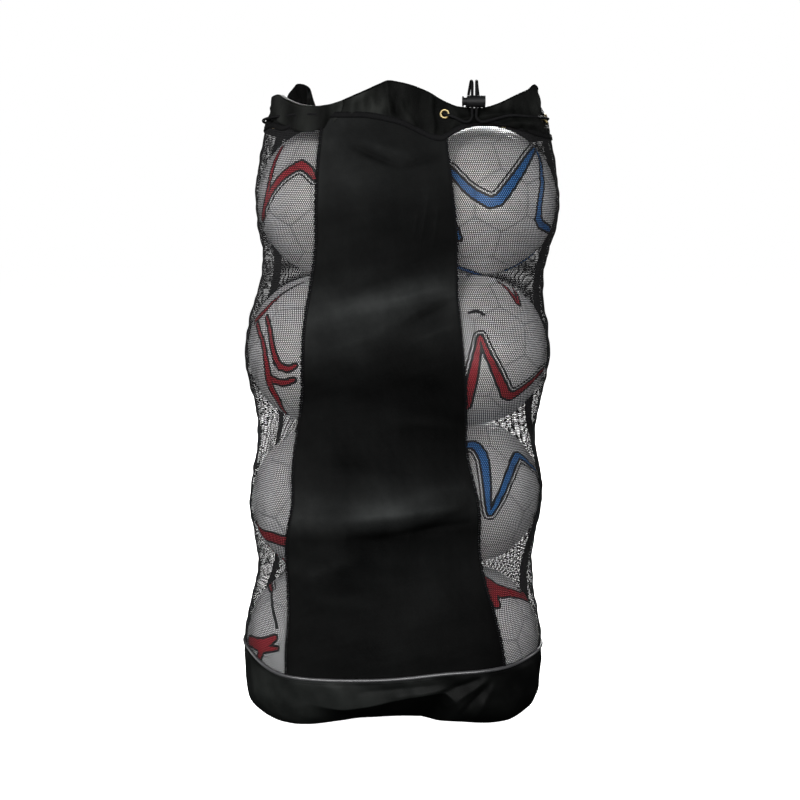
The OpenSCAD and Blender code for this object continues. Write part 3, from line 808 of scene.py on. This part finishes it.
def net_points(a, z, off):
    p = skin(a, z, off)
    slack = 0.0009 * ripple(p, 0.055, 11) + 0.0006 * ripple(p, 0.021, 12)
    low, high = piping_at(a), seam_at(a)
    near_edge = smooth((z - low) / 0.03) * smooth((high - z) / 0.03)
    return p + outward(a, z) * (slack * near_edge)[..., None]


def net(name, anchor, far, width, parts, towards, yarn=YARN):
    """Hexagonal netting between the edges anchor(z) and far(z), as a number of pieces up the bag."""
    z_rows = np.arange(0.070, 0.880, Z_STEP)
    sweep = np.linspace(0, width, 420)
    azimuth = anchor(z_rows)[:, None] + towards * sweep[None, :]
    base = skin(azimuth, z_rows[:, None])
    arc = np.array([distance_along(row) for row in base])
    s_cols = np.arange(0, arc[:, -1].min(), S_STEP)
    az_table = np.stack([np.interp(s_cols, arc[r], azimuth[r]) for r in range(len(z_rows))])
    inner = net_points(az_table, z_rows[:, None], CLOTH - 0.0001)
    outer = net_points(az_table, z_rows[:, None], CLOTH + 0.0003)

    def look_up(table, s, z):
        u = np.clip(s / S_STEP, 0, len(s_cols) - 1.001)
        v = np.clip((z - z_rows[0]) / Z_STEP, 0, len(z_rows) - 1.001)
        i, j = u.astype(int), v.astype(int)
        fu, fv = u - i, v - j
        if table.ndim == 3:
            fu, fv = fu[:, None], fv[:, None]
        low = table[j, i] * (1 - fu) + table[j, i + 1] * fu
        high = table[j + 1, i] * (1 - fu) + table[j + 1, i + 1] * fu
        return low * (1 - fv) + high * fv

    side = CELL / math.sqrt(3)
    corners = np.array([(0, 2), (1, 1), (1, -1), (0, -2), (-1, -1), (-1, 1)])
    grid_unit = np.array([CELL / 2, side / 2])
    rows = int((0.875 - NET_FOOT) / (1.5 * side))
    cols = int(s_cols[-1] / CELL)
    j, i = np.meshgrid(np.arange(rows), np.arange(cols), indexing="ij")
    mid = np.stack([2 * i + j % 2, 3 * j], -1).reshape(-1, 2)
    at = mid * grid_unit + [0, NET_FOOT]
    az = look_up(az_table, at[:, 0], at[:, 1])
    inside_edge = (az - far(at[:, 1])) * towards < 0
    keep = inside_edge & (at[:, 1] > piping_at(az) - 0.001) & (at[:, 1] < seam_at(az) + 0.002)
    pieces = []
    cuts = np.quantile(at[keep, 1], np.linspace(0, 1, parts + 1))
    cuts[0], cuts[-1] = 0, 1
    for part, (z_from, z_to) in enumerate(zip(cuts[:-1], cuts[1:])):
        here = keep & (at[:, 1] >= z_from) & (at[:, 1] < z_to)
        centre = mid[here]
        keys = centre[:, None] + corners[None]
        flat = keys.reshape(-1, 2)
        _, first, index = np.unique(flat[:, 0] * 100000 + flat[:, 1], return_index=True, return_inverse=True)
        outer_at = flat[first] * grid_unit + [0, NET_FOOT]
        hole = (centre[:, None] + corners[None] * (1 - yarn / CELL)).reshape(-1, 2)
        hole = hole * grid_unit + [0, NET_FOOT]
        flat_at = np.concatenate([outer_at, hole])
        points = np.concatenate([look_up(outer, *outer_at.T), look_up(inner, *hole.T)])
        n, cells = len(first), len(centre)
        out = index.reshape(cells, 6)
        hol = n + np.arange(cells * 6).reshape(cells, 6)
        nxt = np.roll(np.arange(6), -1)
        faces = np.stack([out, out[:, nxt], hol[:, nxt], hol], -1).reshape(-1, 4)
        if towards > 0:
            faces = faces[:, ::-1]
        piece = mesh_object(f"{name}_net_{part + 1}", points, faces)
        set_cloth(piece, flat_at[:, 0], flat_at[:, 1], len(flat_at))
        finish_piece(piece, "bag", NET, name, slot="mesh")
        strands = sum(p.area for p in piece.data.polygons)
        tall = np.ptp(at[here, 1])
        wide = cells * CELL * side * 1.5 / tall
        pieces.append((piece, wide, tall, strands))
    return pieces


nets = net("mesh_left", side_left, lambda z: front_left(z) + 360, 70, 2, 1)
nets += net("mesh_right", side_right, front_right, 78, 2, -1)
nets += net("mesh_back", side_right, side_left, 208, 5, 1, BACK_YARN)

# ---- Front panel ----
cols, rows = ((130, 340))
v = np.linspace(0, 1, rows)[:, None]
u = np.linspace(0, 1, cols)[None, :]
z_guess = 0.09 + 0.77 * v + 0 * u
az = front_left(z_guess) + (front_right(z_guess) - front_left(z_guess)) * u
z = piping_at(az) + 0.0015 + (seam_at(az) - piping_at(az) - 0.0010) * v
az = front_left(z) + (front_right(z) - front_left(z)) * u
panel = skin(az, z, CLOTH)
flat_part = smooth((np.abs(from_ball(az, z)) - 22) / 30)
edge = smooth(u / 0.05) * smooth((1 - u) / 0.05) * smooth(v / 0.03) * smooth((1 - v) / 0.02)
folds = 0.0014 * ripple(panel, 0.16, 3) * flat_part
folds = folds + 0.0005 * ripple(panel, 0.045, 4) + 0.00018 * ripple(panel, 0.016, 5)
folds = folds + creases(panel, [
    (-66, 832, 4, 802, 6, -3.4), (-60, 842, 20, 818, 9, 2.2), (4, 802, 60, 822, 6, -1.8),
    (-100, 600, 85, 664, 16, 3), (-100, 622, 70, 688, 10, -2.2), (-110, 545, 20, 600, 12, 1.5),
    (-75, 296, 15, 284, 12, -3), (15, 284, 112, 334, 14, -3), (-80, 322, 110, 362, 18, 2.8),
    (-20, 455, 100, 440, 10, 1.4), (-110, 405, 30, 380, 14, -1.4), (30, 700, 40, 765, 3.5, 1.2),
    (46, 690, 54, 752, 3.5, 1.2), (20, 705, 26, 745, 3, 0.8), (-40, 610, 75, 645, 9, 2.4),
    (0, 585, 80, 628, 7, -3.4), (10, 560, 85, 592, 8, 2.2), (-100, 318, 105, 330, 10, 2.2),
    (-30, 292, 110, 306, 8, -3.4), (-130, 235, -60, 262, 12, 1.8), (-135, 205, -20, 185, 14, 1.6),
    (20, 150, 130, 176, 12, -1.4),
])
# Painted light and shade: the cloth is made paler at the heights where it faces up towards the light, paler
# towards its left, paler on the ridges of its folds and darker in their grooves
PANEL_LIGHT_KEYS = [
    (0.09, 0.30), (0.14, 0.26), (0.18, 0.30), (0.22, 0.40), (0.256, 0.48), (0.293, 0.36), (0.326, 0.85),
    (0.365, 0.50), (0.40, 0.34), (0.44, 0.30), (0.475, 0.32), (0.51, 0.25), (0.547, 0.40), (0.58, 0.62),
    (0.615, 0.95), (0.65, 0.60), (0.68, 0.33), (0.72, 0.42), (0.75, 0.42), (0.786, 0.62), (0.82, 0.66),
    (0.86, 0.58),
]
tilted = panel[..., 2] - 0.165 * panel[..., 0] * smooth((panel[..., 2] - 0.33) / 0.2)
panel_painted_light = np.interp(tilted, *np.array(PANEL_LIGHT_KEYS).T)
panel_painted_light = panel_painted_light * (1.18 - 0.36 * u) * np.exp(150 * (folds - folds.mean()))
panel = panel + outward(az, z) * (folds * edge)[..., None]
front = grid_piece("front_panel_cloth", panel, thick=NYLON_THICK, gain=1.22 * panel_painted_light**1.6)
finish_piece(front, "bag", NYLON, "front_panel", slot="panel_cloth")


def strip(node, edge_at, half_deg, teeth, material, thick):
    """A flat tape up the bag along edge_at(z), and the paths of a stitch line near each side; teeth makes it
    ragged.
    """
    zz = np.linspace(0, 1, 1400)[:, None]
    a0 = edge_at(0.09 + 0.77 * zz)
    low, high = piping_at(a0) + 0.002, seam_at(a0) - 0.001
    z = low + (high - low) * zz
    across = np.linspace(-1, 1, 7)[None, :]
    a = edge_at(z) + half_deg * across * (1 + teeth * np.sin(TAU * z / 0.0034))
    crown = 0.0003 * (1 - across**2)
    p = skin(a, z, OUTSIDE + 0.0002 + thick + crown)
    finish_piece(grid_piece(node + "_tape", p, thick=thick), "bag", material, node, slot="tape")
    rows = []
    for share in (-0.72, 0.72):
        path = skin(edge_at(z[:, 0]) + half_deg * share, z[:, 0], OUTSIDE + 0.0005 + thick)
        rows.append((path, outward(edge_at(z[:, 0]), z[:, 0])))
    return rows


stitch_rows = []
for hand, edge_at in (("left", front_left), ("right", front_right)):
    strip("panel_hem_" + hand, edge_at, 0.50, 0.62, THREAD, 0.0005)
for hand, edge_at in (("left", side_left), ("right", side_right)):
    stitch_rows += strip("side_binding_" + hand, edge_at, 2.4, 0.0, TAPE, 0.0009)

# ---- Base ----
cols, rows = ((420, 64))
a = all_round(cols)[None, :]
v = np.linspace(0, 1, rows)[:, None]
front_gap = smooth((a + 127) / 16) * smooth((-61 - a) / 7) + 0 * v
side_gap = smooth((np.abs(from_ball(a, 0.09)) - 26) / 30) * (np.abs(a + 90) > 60) + 0 * v
recess = front_gap + side_gap
top_z = piping_at(a) - 0.0022
fold_z = 0.050 - 0.010 * side_gap + front_gap * (0.040 + 0.026 * smooth((a + 118) / 55) - 0.050)
fold_in = 0.055 + 0.038 * smooth((a + 144) / 32) * smooth((-34 - a) / 28) + 0.010 * side_gap + 0 * v
wall = np.clip(v / 0.45, 0, 1)
turn_in = np.clip((v - 0.45) / 0.55, 0, 1)
z = top_z + (fold_z - top_z) * wall
lobe_z = fold_z * (1 - np.sin(math.pi / 2 * turn_in))
slot_z = fold_z * (1 - turn_in) ** 1.7
z = np.where(v > 0.45, lobe_z * (1 - recess) + slot_z * recess, z)
lobe_in = fold_in * (1 - np.cos(math.pi / 2 * turn_in))
slot_in = fold_in * turn_in
inward = lobe_in * (1 - recess) + slot_in * recess
flat_z = 0.09 + 0 * z
band = skin(a, flat_z, CLOTH - inward)
band[..., 2] = z
folds = 0.0014 * ripple(band, 0.085, 21) + 0.0006 * ripple(band, 0.030, 22)
folds = folds + (band[..., 1] < 0) * creases(band, [
    (50, 60, 118, 88, 6, -4), (60, 40, 125, 84, 5, 3), (78, 22, 130, 80, 5, -3.4),
    (100, 14, 136, 78, 6, 2.6), (-60, 66, 60, 78, 6, -2), (-190, 75, -150, 30, 9, -2.2),
    (-10, 58, 90, 74, 5, 2),
])
hold = smooth(v / 0.10) * smooth((1 - v) / 0.1)
band = band + outward(a + 0 * z, flat_z) * (folds * hold)[..., None]
band[..., 2] = np.maximum(band[..., 2], 0.0006)
# Painted light and shade: the band is darker towards its right, much darker where it turns in under the
# recess, paler on the ridges of its folds and darker in their grooves
band_painted_light = 0.95 - 0.78 * smooth((band[..., 0] + 0.10) / 0.22)
band_painted_light = band_painted_light * (1 - 0.75 * recess * (v > 0.45)) * np.exp(110 * folds)
band_piece = grid_piece("base_band_cloth", band[::-1], ring=True, thick=COATED_THICK, gain=band_painted_light[::-1])
finish_piece(band_piece, "bag", COATED, "base_band", slot="base_cloth")

bottom_edge = band[-1]
middle_at = bottom_edge.mean(0) * [1, 1, 0]
share = np.linspace(1.02, 0.0, 26)[:, None, None]
bottom = middle_at + (bottom_edge[None] - middle_at) * share
sag = 0.0004 * np.abs(ripple(bottom, 0.05, 31))
bottom[..., 2] = 0.0012 + (bottom_edge[None, :, 2] - 0.0006) * share[..., 0] ** 6 + sag
bottom_piece = grid_piece("base_bottom_cloth", bottom[::-1], ring=True)
edit = bmesh.new()
edit.from_mesh(bottom_piece.data)
bmesh.ops.remove_doubles(edit, verts=edit.verts, dist=1e-5)
bmesh.ops.recalc_face_normals(edit, faces=edit.faces)
edit.to_mesh(bottom_piece.data)
edit.free()
set_gain(bottom_piece, 0.6)
thicken(bottom_piece, 0.0008, 1)
finish_piece(bottom_piece, "bag", COATED, "base_bottom", slot="base_cloth")

a_line = all_round(720)
piping_line = skin(a_line, piping_at(a_line), CLOTH + 0.0006)
piping_line[:, 2] += 0.0003 * ripple(piping_line, 0.09, 41)


def puckered(ang, s):
    return 1 + 0.01 * np.sin(3 * ang + TAU * s / 0.011) + 0.01 * np.sin(TAU * s / 0.031)


def closed_row(path, normals):
    return np.concatenate([path, path[:1]]), np.concatenate([normals, normals[:1]])


piping = tube("base_piping_tube", piping_line, 0.0025, 14, True, puckered)
finish_piece(piping, "bag", PIPING, "base_piping", slot="piping")
under_piping = skin(a_line, piping_at(a_line) - 0.0062, CLOTH + 0.0004)
stitch_rows.append(closed_row(under_piping, outward(a_line, 0.09 + 0 * a_line)))

# ---- Collar ----
RIM_KEYS = [
    (-175, 898), (-168, 891), (-160, 890), (-154, 896), (-149, 904), (-145, 905.5), (-140, 897),
    (-134, 888.5), (-128, 886.5), (-122, 892.5), (-118, 898), (-111, 907.5), (-105, 917), (-100, 922.2),
    (-94, 919.7), (-84, 911.7), (-78, 904), (-73, 895.5), (-67, 887), (-62, 884.5), (-55, 885), (-51, 890),
    (-44, 902.5), (-38, 912), (-32, 921.5), (-28, 917), (-22, 902), (-14, 899), (-4, 899), (18, 890),
    (30, 896), (40, 902), (50, 899), (62, 890), (84, 918), (106, 890), (126, 912), (148, 890), (156, 899),
    (160, 916), (165, 933), (171, 939.5), (178, 935), (182, 920),
]
# How far the rim leans out
LEAN_KEYS = [
    (-176, -3), (-165, -7), (-158, -7), (-148, 0), (-129, 0), (-112, 3), (-97, -4), (-84, 3), (-72, 0),
    (-60, 2), (-45, 5), (-33, 0), (-24, -7), (-14, -10), (-4, -9), (6, -6), (18, -2), (40, 5), (62, 0),
    (84, -6), (106, 0), (126, 5), (148, 0), (160, -3), (172, -2),
]
cols, rows = ((800, 50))
a = all_round(cols)[None, :] + np.zeros((rows, 1))
t = np.linspace(0, 1, rows)[:, None]
low, high = seam_at(a) - 0.0004, round_keys(RIM_KEYS, a)
z = low + (high - low) * t
lean = round_keys(LEAN_KEYS, a)
swell = smooth(np.clip((z - 0.866) / 0.05, 0, 1))
overhang = 0.007 * np.exp(-(((a + 46) / 17) ** 2)) * np.exp(-(((z - 0.866) / 0.010) ** 2))
turn = np.radians(a)
pleats = 0.0011 * np.sin(26 * turn + 2.2 * np.sin(5 * turn) + 2.4 * t * np.sin(3 * turn))
base_points = skin(a, z, CLOTH)
rough_folds = pleats * smooth(t / 0.35) + 0.0015 * ripple(base_points, 0.042, 51) * smooth(t / 0.25)
rough_folds = rough_folds + 0.0008 * ripple(base_points, 0.016, 52)
shift = lean * swell + overhang + rough_folds
# The collar lies flat round each eyelet
EYELET_FLAT = 0.0125
flat_near = np.ones_like(a)
for e in EYELET_AZ:
    far = norm(base_points - skin(e, EYELET_Z), axis=-1)
    flat_near = flat_near * (1 - np.exp(-((far / EYELET_FLAT) ** 4)))
shift = shift * flat_near
collar_points = base_points + outward(a, z) * shift[..., None]
COLLAR_CREASES = [
    (-18, 930, -12, 868, 6, 5.5), (-75, 885, -30, 912, 10, 3.5), (2, 915, 20, 862, 9, -4.5),
    (45, 900, 50, 850, 6, 3), (60, 852, 172, 872, 4.5, -5), (75, 868, 165, 880, 6, 6),
    (110, 885, 160, 905, 8, -3.5), (-170, 890, -120, 868, 8, 4),
]
for row in np.array(COLLAR_CREASES) / 1000:
    fold = crease(collar_points, *row) * (collar_points[..., 1] < 0.03)
    collar_points = collar_points + outward(a, z) * (fold * flat_near * smooth(t / 0.15))[..., None]
x = collar_points[..., 0]
# Painted light and shade: the collar is paler a little left of its middle and high on its right side, paler
# on the ridges of its pleats and folds and darker in their hollows
collar_painted_light = 0.34 + 0.85 * smooth((-0.005 - x) / 0.03) * smooth((x + 0.10) / 0.06)
collar_painted_light = (collar_painted_light + 0.25 * smooth((x - 0.11) / 0.03) * smooth((z - 0.875) / 0.02)) * np.exp(240 * rough_folds)
collar = grid_piece("collar_cloth", collar_points, ring=True, thick=NYLON_THICK, gain=collar_painted_light)
finish_piece(collar, "bag", COLLAR_NYLON, "collar", slot="collar_cloth")


def whipped(ang, s):
    return 1 + 0.10 * np.sin(TAU * s / 0.006)


# The rolled hem along the rim
rim = collar_points[-1]
hem = tube("collar_hem", resample(rim[::4], 0.003, True), 0.0012, 8, True, whipped)
set_gain(hem, 0.5)
finish_piece(hem, "bag", COLLAR_NYLON, slot="collar_cloth")

# On the left a part of the rim falls outwards and hangs over the cord
UP = np.array([0, 0, 1])
share = np.linspace(0, 1, 60)
at = -158 + 38 * share
root = np.stack([np.interp(at, a[0], rim[:, k]) for k in range(3)], 1) - 0.0010 * UP
out = outward(at, EYELET_Z + 0 * at)
r = (0.0052 * (0.25 + 0.75 * np.sin(math.pi * share) ** 0.6))[:, None]
drop = (0.008 + 0.028 * np.sin(math.pi * share) ** 0.4)[:, None]
bends = np.linspace(0, math.pi, 10)
rows = [root + out * r * (1 - math.cos(bend)) + UP * 0.5 * r * math.sin(bend) for bend in bends]
for down in np.linspace(0, 1, 16)[1:]:
    wave = (0.0018 * np.sin(at * 0.9 + 5 * down) * down - 0.0015 * down)[:, None]
    rows.append(root + out * (2 * r + wave) - UP * drop * down)
# Painted light and shade: pale and dark stripes along the flap stand in for its creases catching the light
collar_painted_light = 0.95 + 0.55 * np.sin(share * 21)
flap = grid_piece("collar_flap_left", np.array(rows)[::-1], thick=NYLON_THICK, gain=collar_painted_light)
finish_piece(flap, "bag", COLLAR_NYLON, slot="collar_cloth")

a = all_round(720)[None, :] + np.zeros((7, 1))
across = np.linspace(-1, 1, 7)[:, None]
z = seam_at(a) + 0.0025 + 0.0040 * across
tape_points = skin(a, z, OUTSIDE + 0.0009 + 0.0004 * (1 - across**2))
tape_points = tape_points + outward(a, z) * (0.0003 * ripple(tape_points, 0.02, 61))[..., None]
tape = grid_piece("collar_tape_cloth", tape_points, ring=True, thick=NYLON_THICK)
finish_piece(tape, "bag", TAPE, "collar_tape", slot="tape")
for share in (-0.0026, 0.0026):
    path = skin(a_line, seam_at(a_line) + 0.0025 + share, OUTSIDE + 0.0013)
    stitch_rows.append(closed_row(path, outward(a_line, seam_at(a_line))))
stitches("stitching", stitch_rows, pitch=0.0042, length=0.0032, radius=0.00042, material=THREAD)

# ---- Strap ----
STRAP_Y, RING_TOP, RING_LOW, BAR_R = 0.272, 0.826, 0.086, 0.0035
BAND_WIDE, BAND_THICK, TAB_WIDE, TAB_THICK = 0.038, 0.0019, 0.032, 0.0017
PAD_HALF, PAD_LONG = 0.031, 0.315
# The band's way from ring to ring, (y, z) in millimetres
ROUTE = [
    (272, 826), (275, 808), (283, 780), (291, 748), (296, 715), (299, 680), (300, 640), (300, 520),
    (300, 400), (300, 200), (299, 172), (294, 142), (286, 118), (272, 86),
]


def across_strap(line):
    """The direction through the band's thickness at each point of a line in the YZ plane."""
    t = unit(np.gradient(line, axis=0))
    return np.stack([0 * t[:, 0], -t[:, 2], t[:, 1]], 1)


def power(value, exponent):
    """value raised to exponent with its sign kept, for rounded rectangles."""
    return np.sign(value) * np.abs(value) ** exponent


def ribbon(name, line, width, thick, around=40):
    """A flat band of webbing along a line in the YZ plane, with rounded selvedges."""
    ang = np.linspace(0, TAU, around, endpoint=False)
    x = power(np.cos(ang), 0.35) * width / 2
    y = power(np.sin(ang), 0.6) * thick / 2
    grid = line[:, None] + x[None, :, None] * np.array([1, 0, 0])
    grid = grid + y[None, :, None] * across_strap(line)[:, None]
    obj = mesh_object(name, grid, grid_faces(len(line), around, True))
    set_cloth(obj, x, distance_along(line)[:, None], grid.shape[:2])
    cap_ends(obj, around, len(line))
    return obj


def round_bar(z, radius, start, end):
    """The band's way round a bar at height z, from one angle to the other."""
    turns = np.linspace(start, end, 18)
    return [(0, STRAP_Y + radius * math.cos(g), z + radius * math.sin(g)) for g in turns]


main = [(0, y / 1000, z / 1000) for y, z in ROUTE[1:-1]]
top_loop = round_bar(RING_TOP, BAR_R, -0.25, math.pi + 0.35)
low_loop = round_bar(RING_LOW, BAR_R, 0.25, -math.pi - 0.35)
back_top = [(0, 0.2722, 0.812), (0, 0.2768, 0.793), (0, 0.2832, 0.770)]
back_low = [(0, 0.2750, 0.1005), (0, 0.2835, 0.120), (0, 0.2890, 0.138)]
webbing_line = resample(back_top[::-1] + top_loop[::-1] + main + low_loop + back_low, 0.002)
webbing = ribbon("strap_webbing_band", webbing_line, BAND_WIDE, BAND_THICK)
finish_piece(webbing, "shoulder_strap", WEBBING, "strap_webbing", slot="webbing")

for name, z, from_y in (("strap_tab_top", 0.846, 0.2505), ("strap_tab_bottom", 0.066, 0.2325)):
    away = [(0, from_y, z + 0.0014), (0, STRAP_Y - 0.010, z + 0.0016), (0, STRAP_Y - 0.0045, z + 0.0024)]
    curl = round_bar(z, BAR_R + 0.0001, 2.2, -2.2)
    back = [(p[0], p[1], 2 * z - p[2]) for p in away[::-1]]
    tab = ribbon(name + "_band", resample(away + curl + back, 0.0012), TAB_WIDE, TAB_THICK)
    finish_piece(tab, "bag", WEBBING, name, slot="webbing")


def pad_mesh():
    """The shoulder pad: a stuffed sleeve round the webbing, sewn across in two places."""
    around = 56
    line = resample([(0, y / 1000, z / 1000) for y, z in ROUTE[4:9]], 0.003)
    s = np.linspace(0, 1, len(line))
    ends = np.clip(1 - np.abs(2 * s - 1) ** 14, 0, 1) ** 0.5
    sewn = 1 - 0.62 * sum(np.exp(-(((s - c) / 0.012) ** 2)) for c in (0.32, 0.68))
    ang = np.linspace(0, TAU, around, endpoint=False)
    x = power(np.cos(ang), 0.55)
    y = power(np.sin(ang), 0.85)
    width = PAD_HALF * (0.93 + 0.07 * ends)
    puff = 0.0050 * ends * sewn
    grid = line[:, None] + (x[None, :] * width[:, None])[..., None] * np.array([1, 0, 0])
    depth = y[None, :] * puff[:, None] * (1 + 0.10 * np.sin(TAU * s * 9)[:, None] * np.abs(x)[None, :])
    grid = grid - (depth - 0.0062)[..., None] * across_strap(line)[:, None]
    obj = mesh_object("shoulder_pad_sleeve", grid, grid_faces(len(line), around, True))
    set_cloth(obj, x * PAD_HALF, s[:, None] * PAD_LONG, grid.shape[:2])
    cap_ends(obj, around, len(line))
    return obj


pad = pad_mesh()
finish_piece(pad, "shoulder_strap", PAD, "shoulder_pad", slot="pad_cloth")

# ---- Floor and light ----
floor = mesh_object("floor", [(-60, -60, 0), (60, -60, 0), (60, 60, 0), (-60, 60, 0)], [[0, 1, 2, 3]])
m = Nodes("floor_paper")
m.feed("Base Color", (0.9, 0.9, 0.9, 1))
m.feed("Roughness", 0.9)
m.feed("Emission Color", (1, 1, 1, 1))
m.feed("Emission Strength", 1.0)
floor.data.materials.append(m.material)
floor.visible_diffuse = floor.visible_glossy = False
world = bpy.data.worlds.new("studio")
world.use_nodes = True
world.node_tree.nodes["Background"].inputs["Color"].default_value = (1, 1, 1, 1)
world.node_tree.nodes["Background"].inputs["Strength"].default_value = 1.0
world.cycles_visibility.diffuse = world.cycles_visibility.glossy = False
scene.world = world


def softbox(name, at, aim, size, watts):
    light = bpy.data.lights.new(name, "AREA")
    light.shape, light.size, light.energy = "DISK", size, watts
    obj = bpy.data.objects.new(name, light)
    obj.location = at
    obj.rotation_euler = (Vector(aim) - Vector(at)).to_track_quat("-Z", "Y").to_euler()
    obj.visible_camera = False
    scene.collection.objects.link(obj)


softbox("key", (-1.3, -3.0, 2.1), (0, 0, 0.45), 1.6, 190)
softbox("front", (0.5, -4.5, 0.8), (0, 0, 0.4), 2.4, 310)
softbox("left", (-3.6, 0.6, 1.2), (0, 0, 0.5), 2.0, 80)
softbox("right", (3.6, 0.6, 1.2), (0, 0, 0.5), 2.0, 60)
softbox("back", (0.5, 3.2, 2.3), (0, 0, 0.5), 2.0, 300)
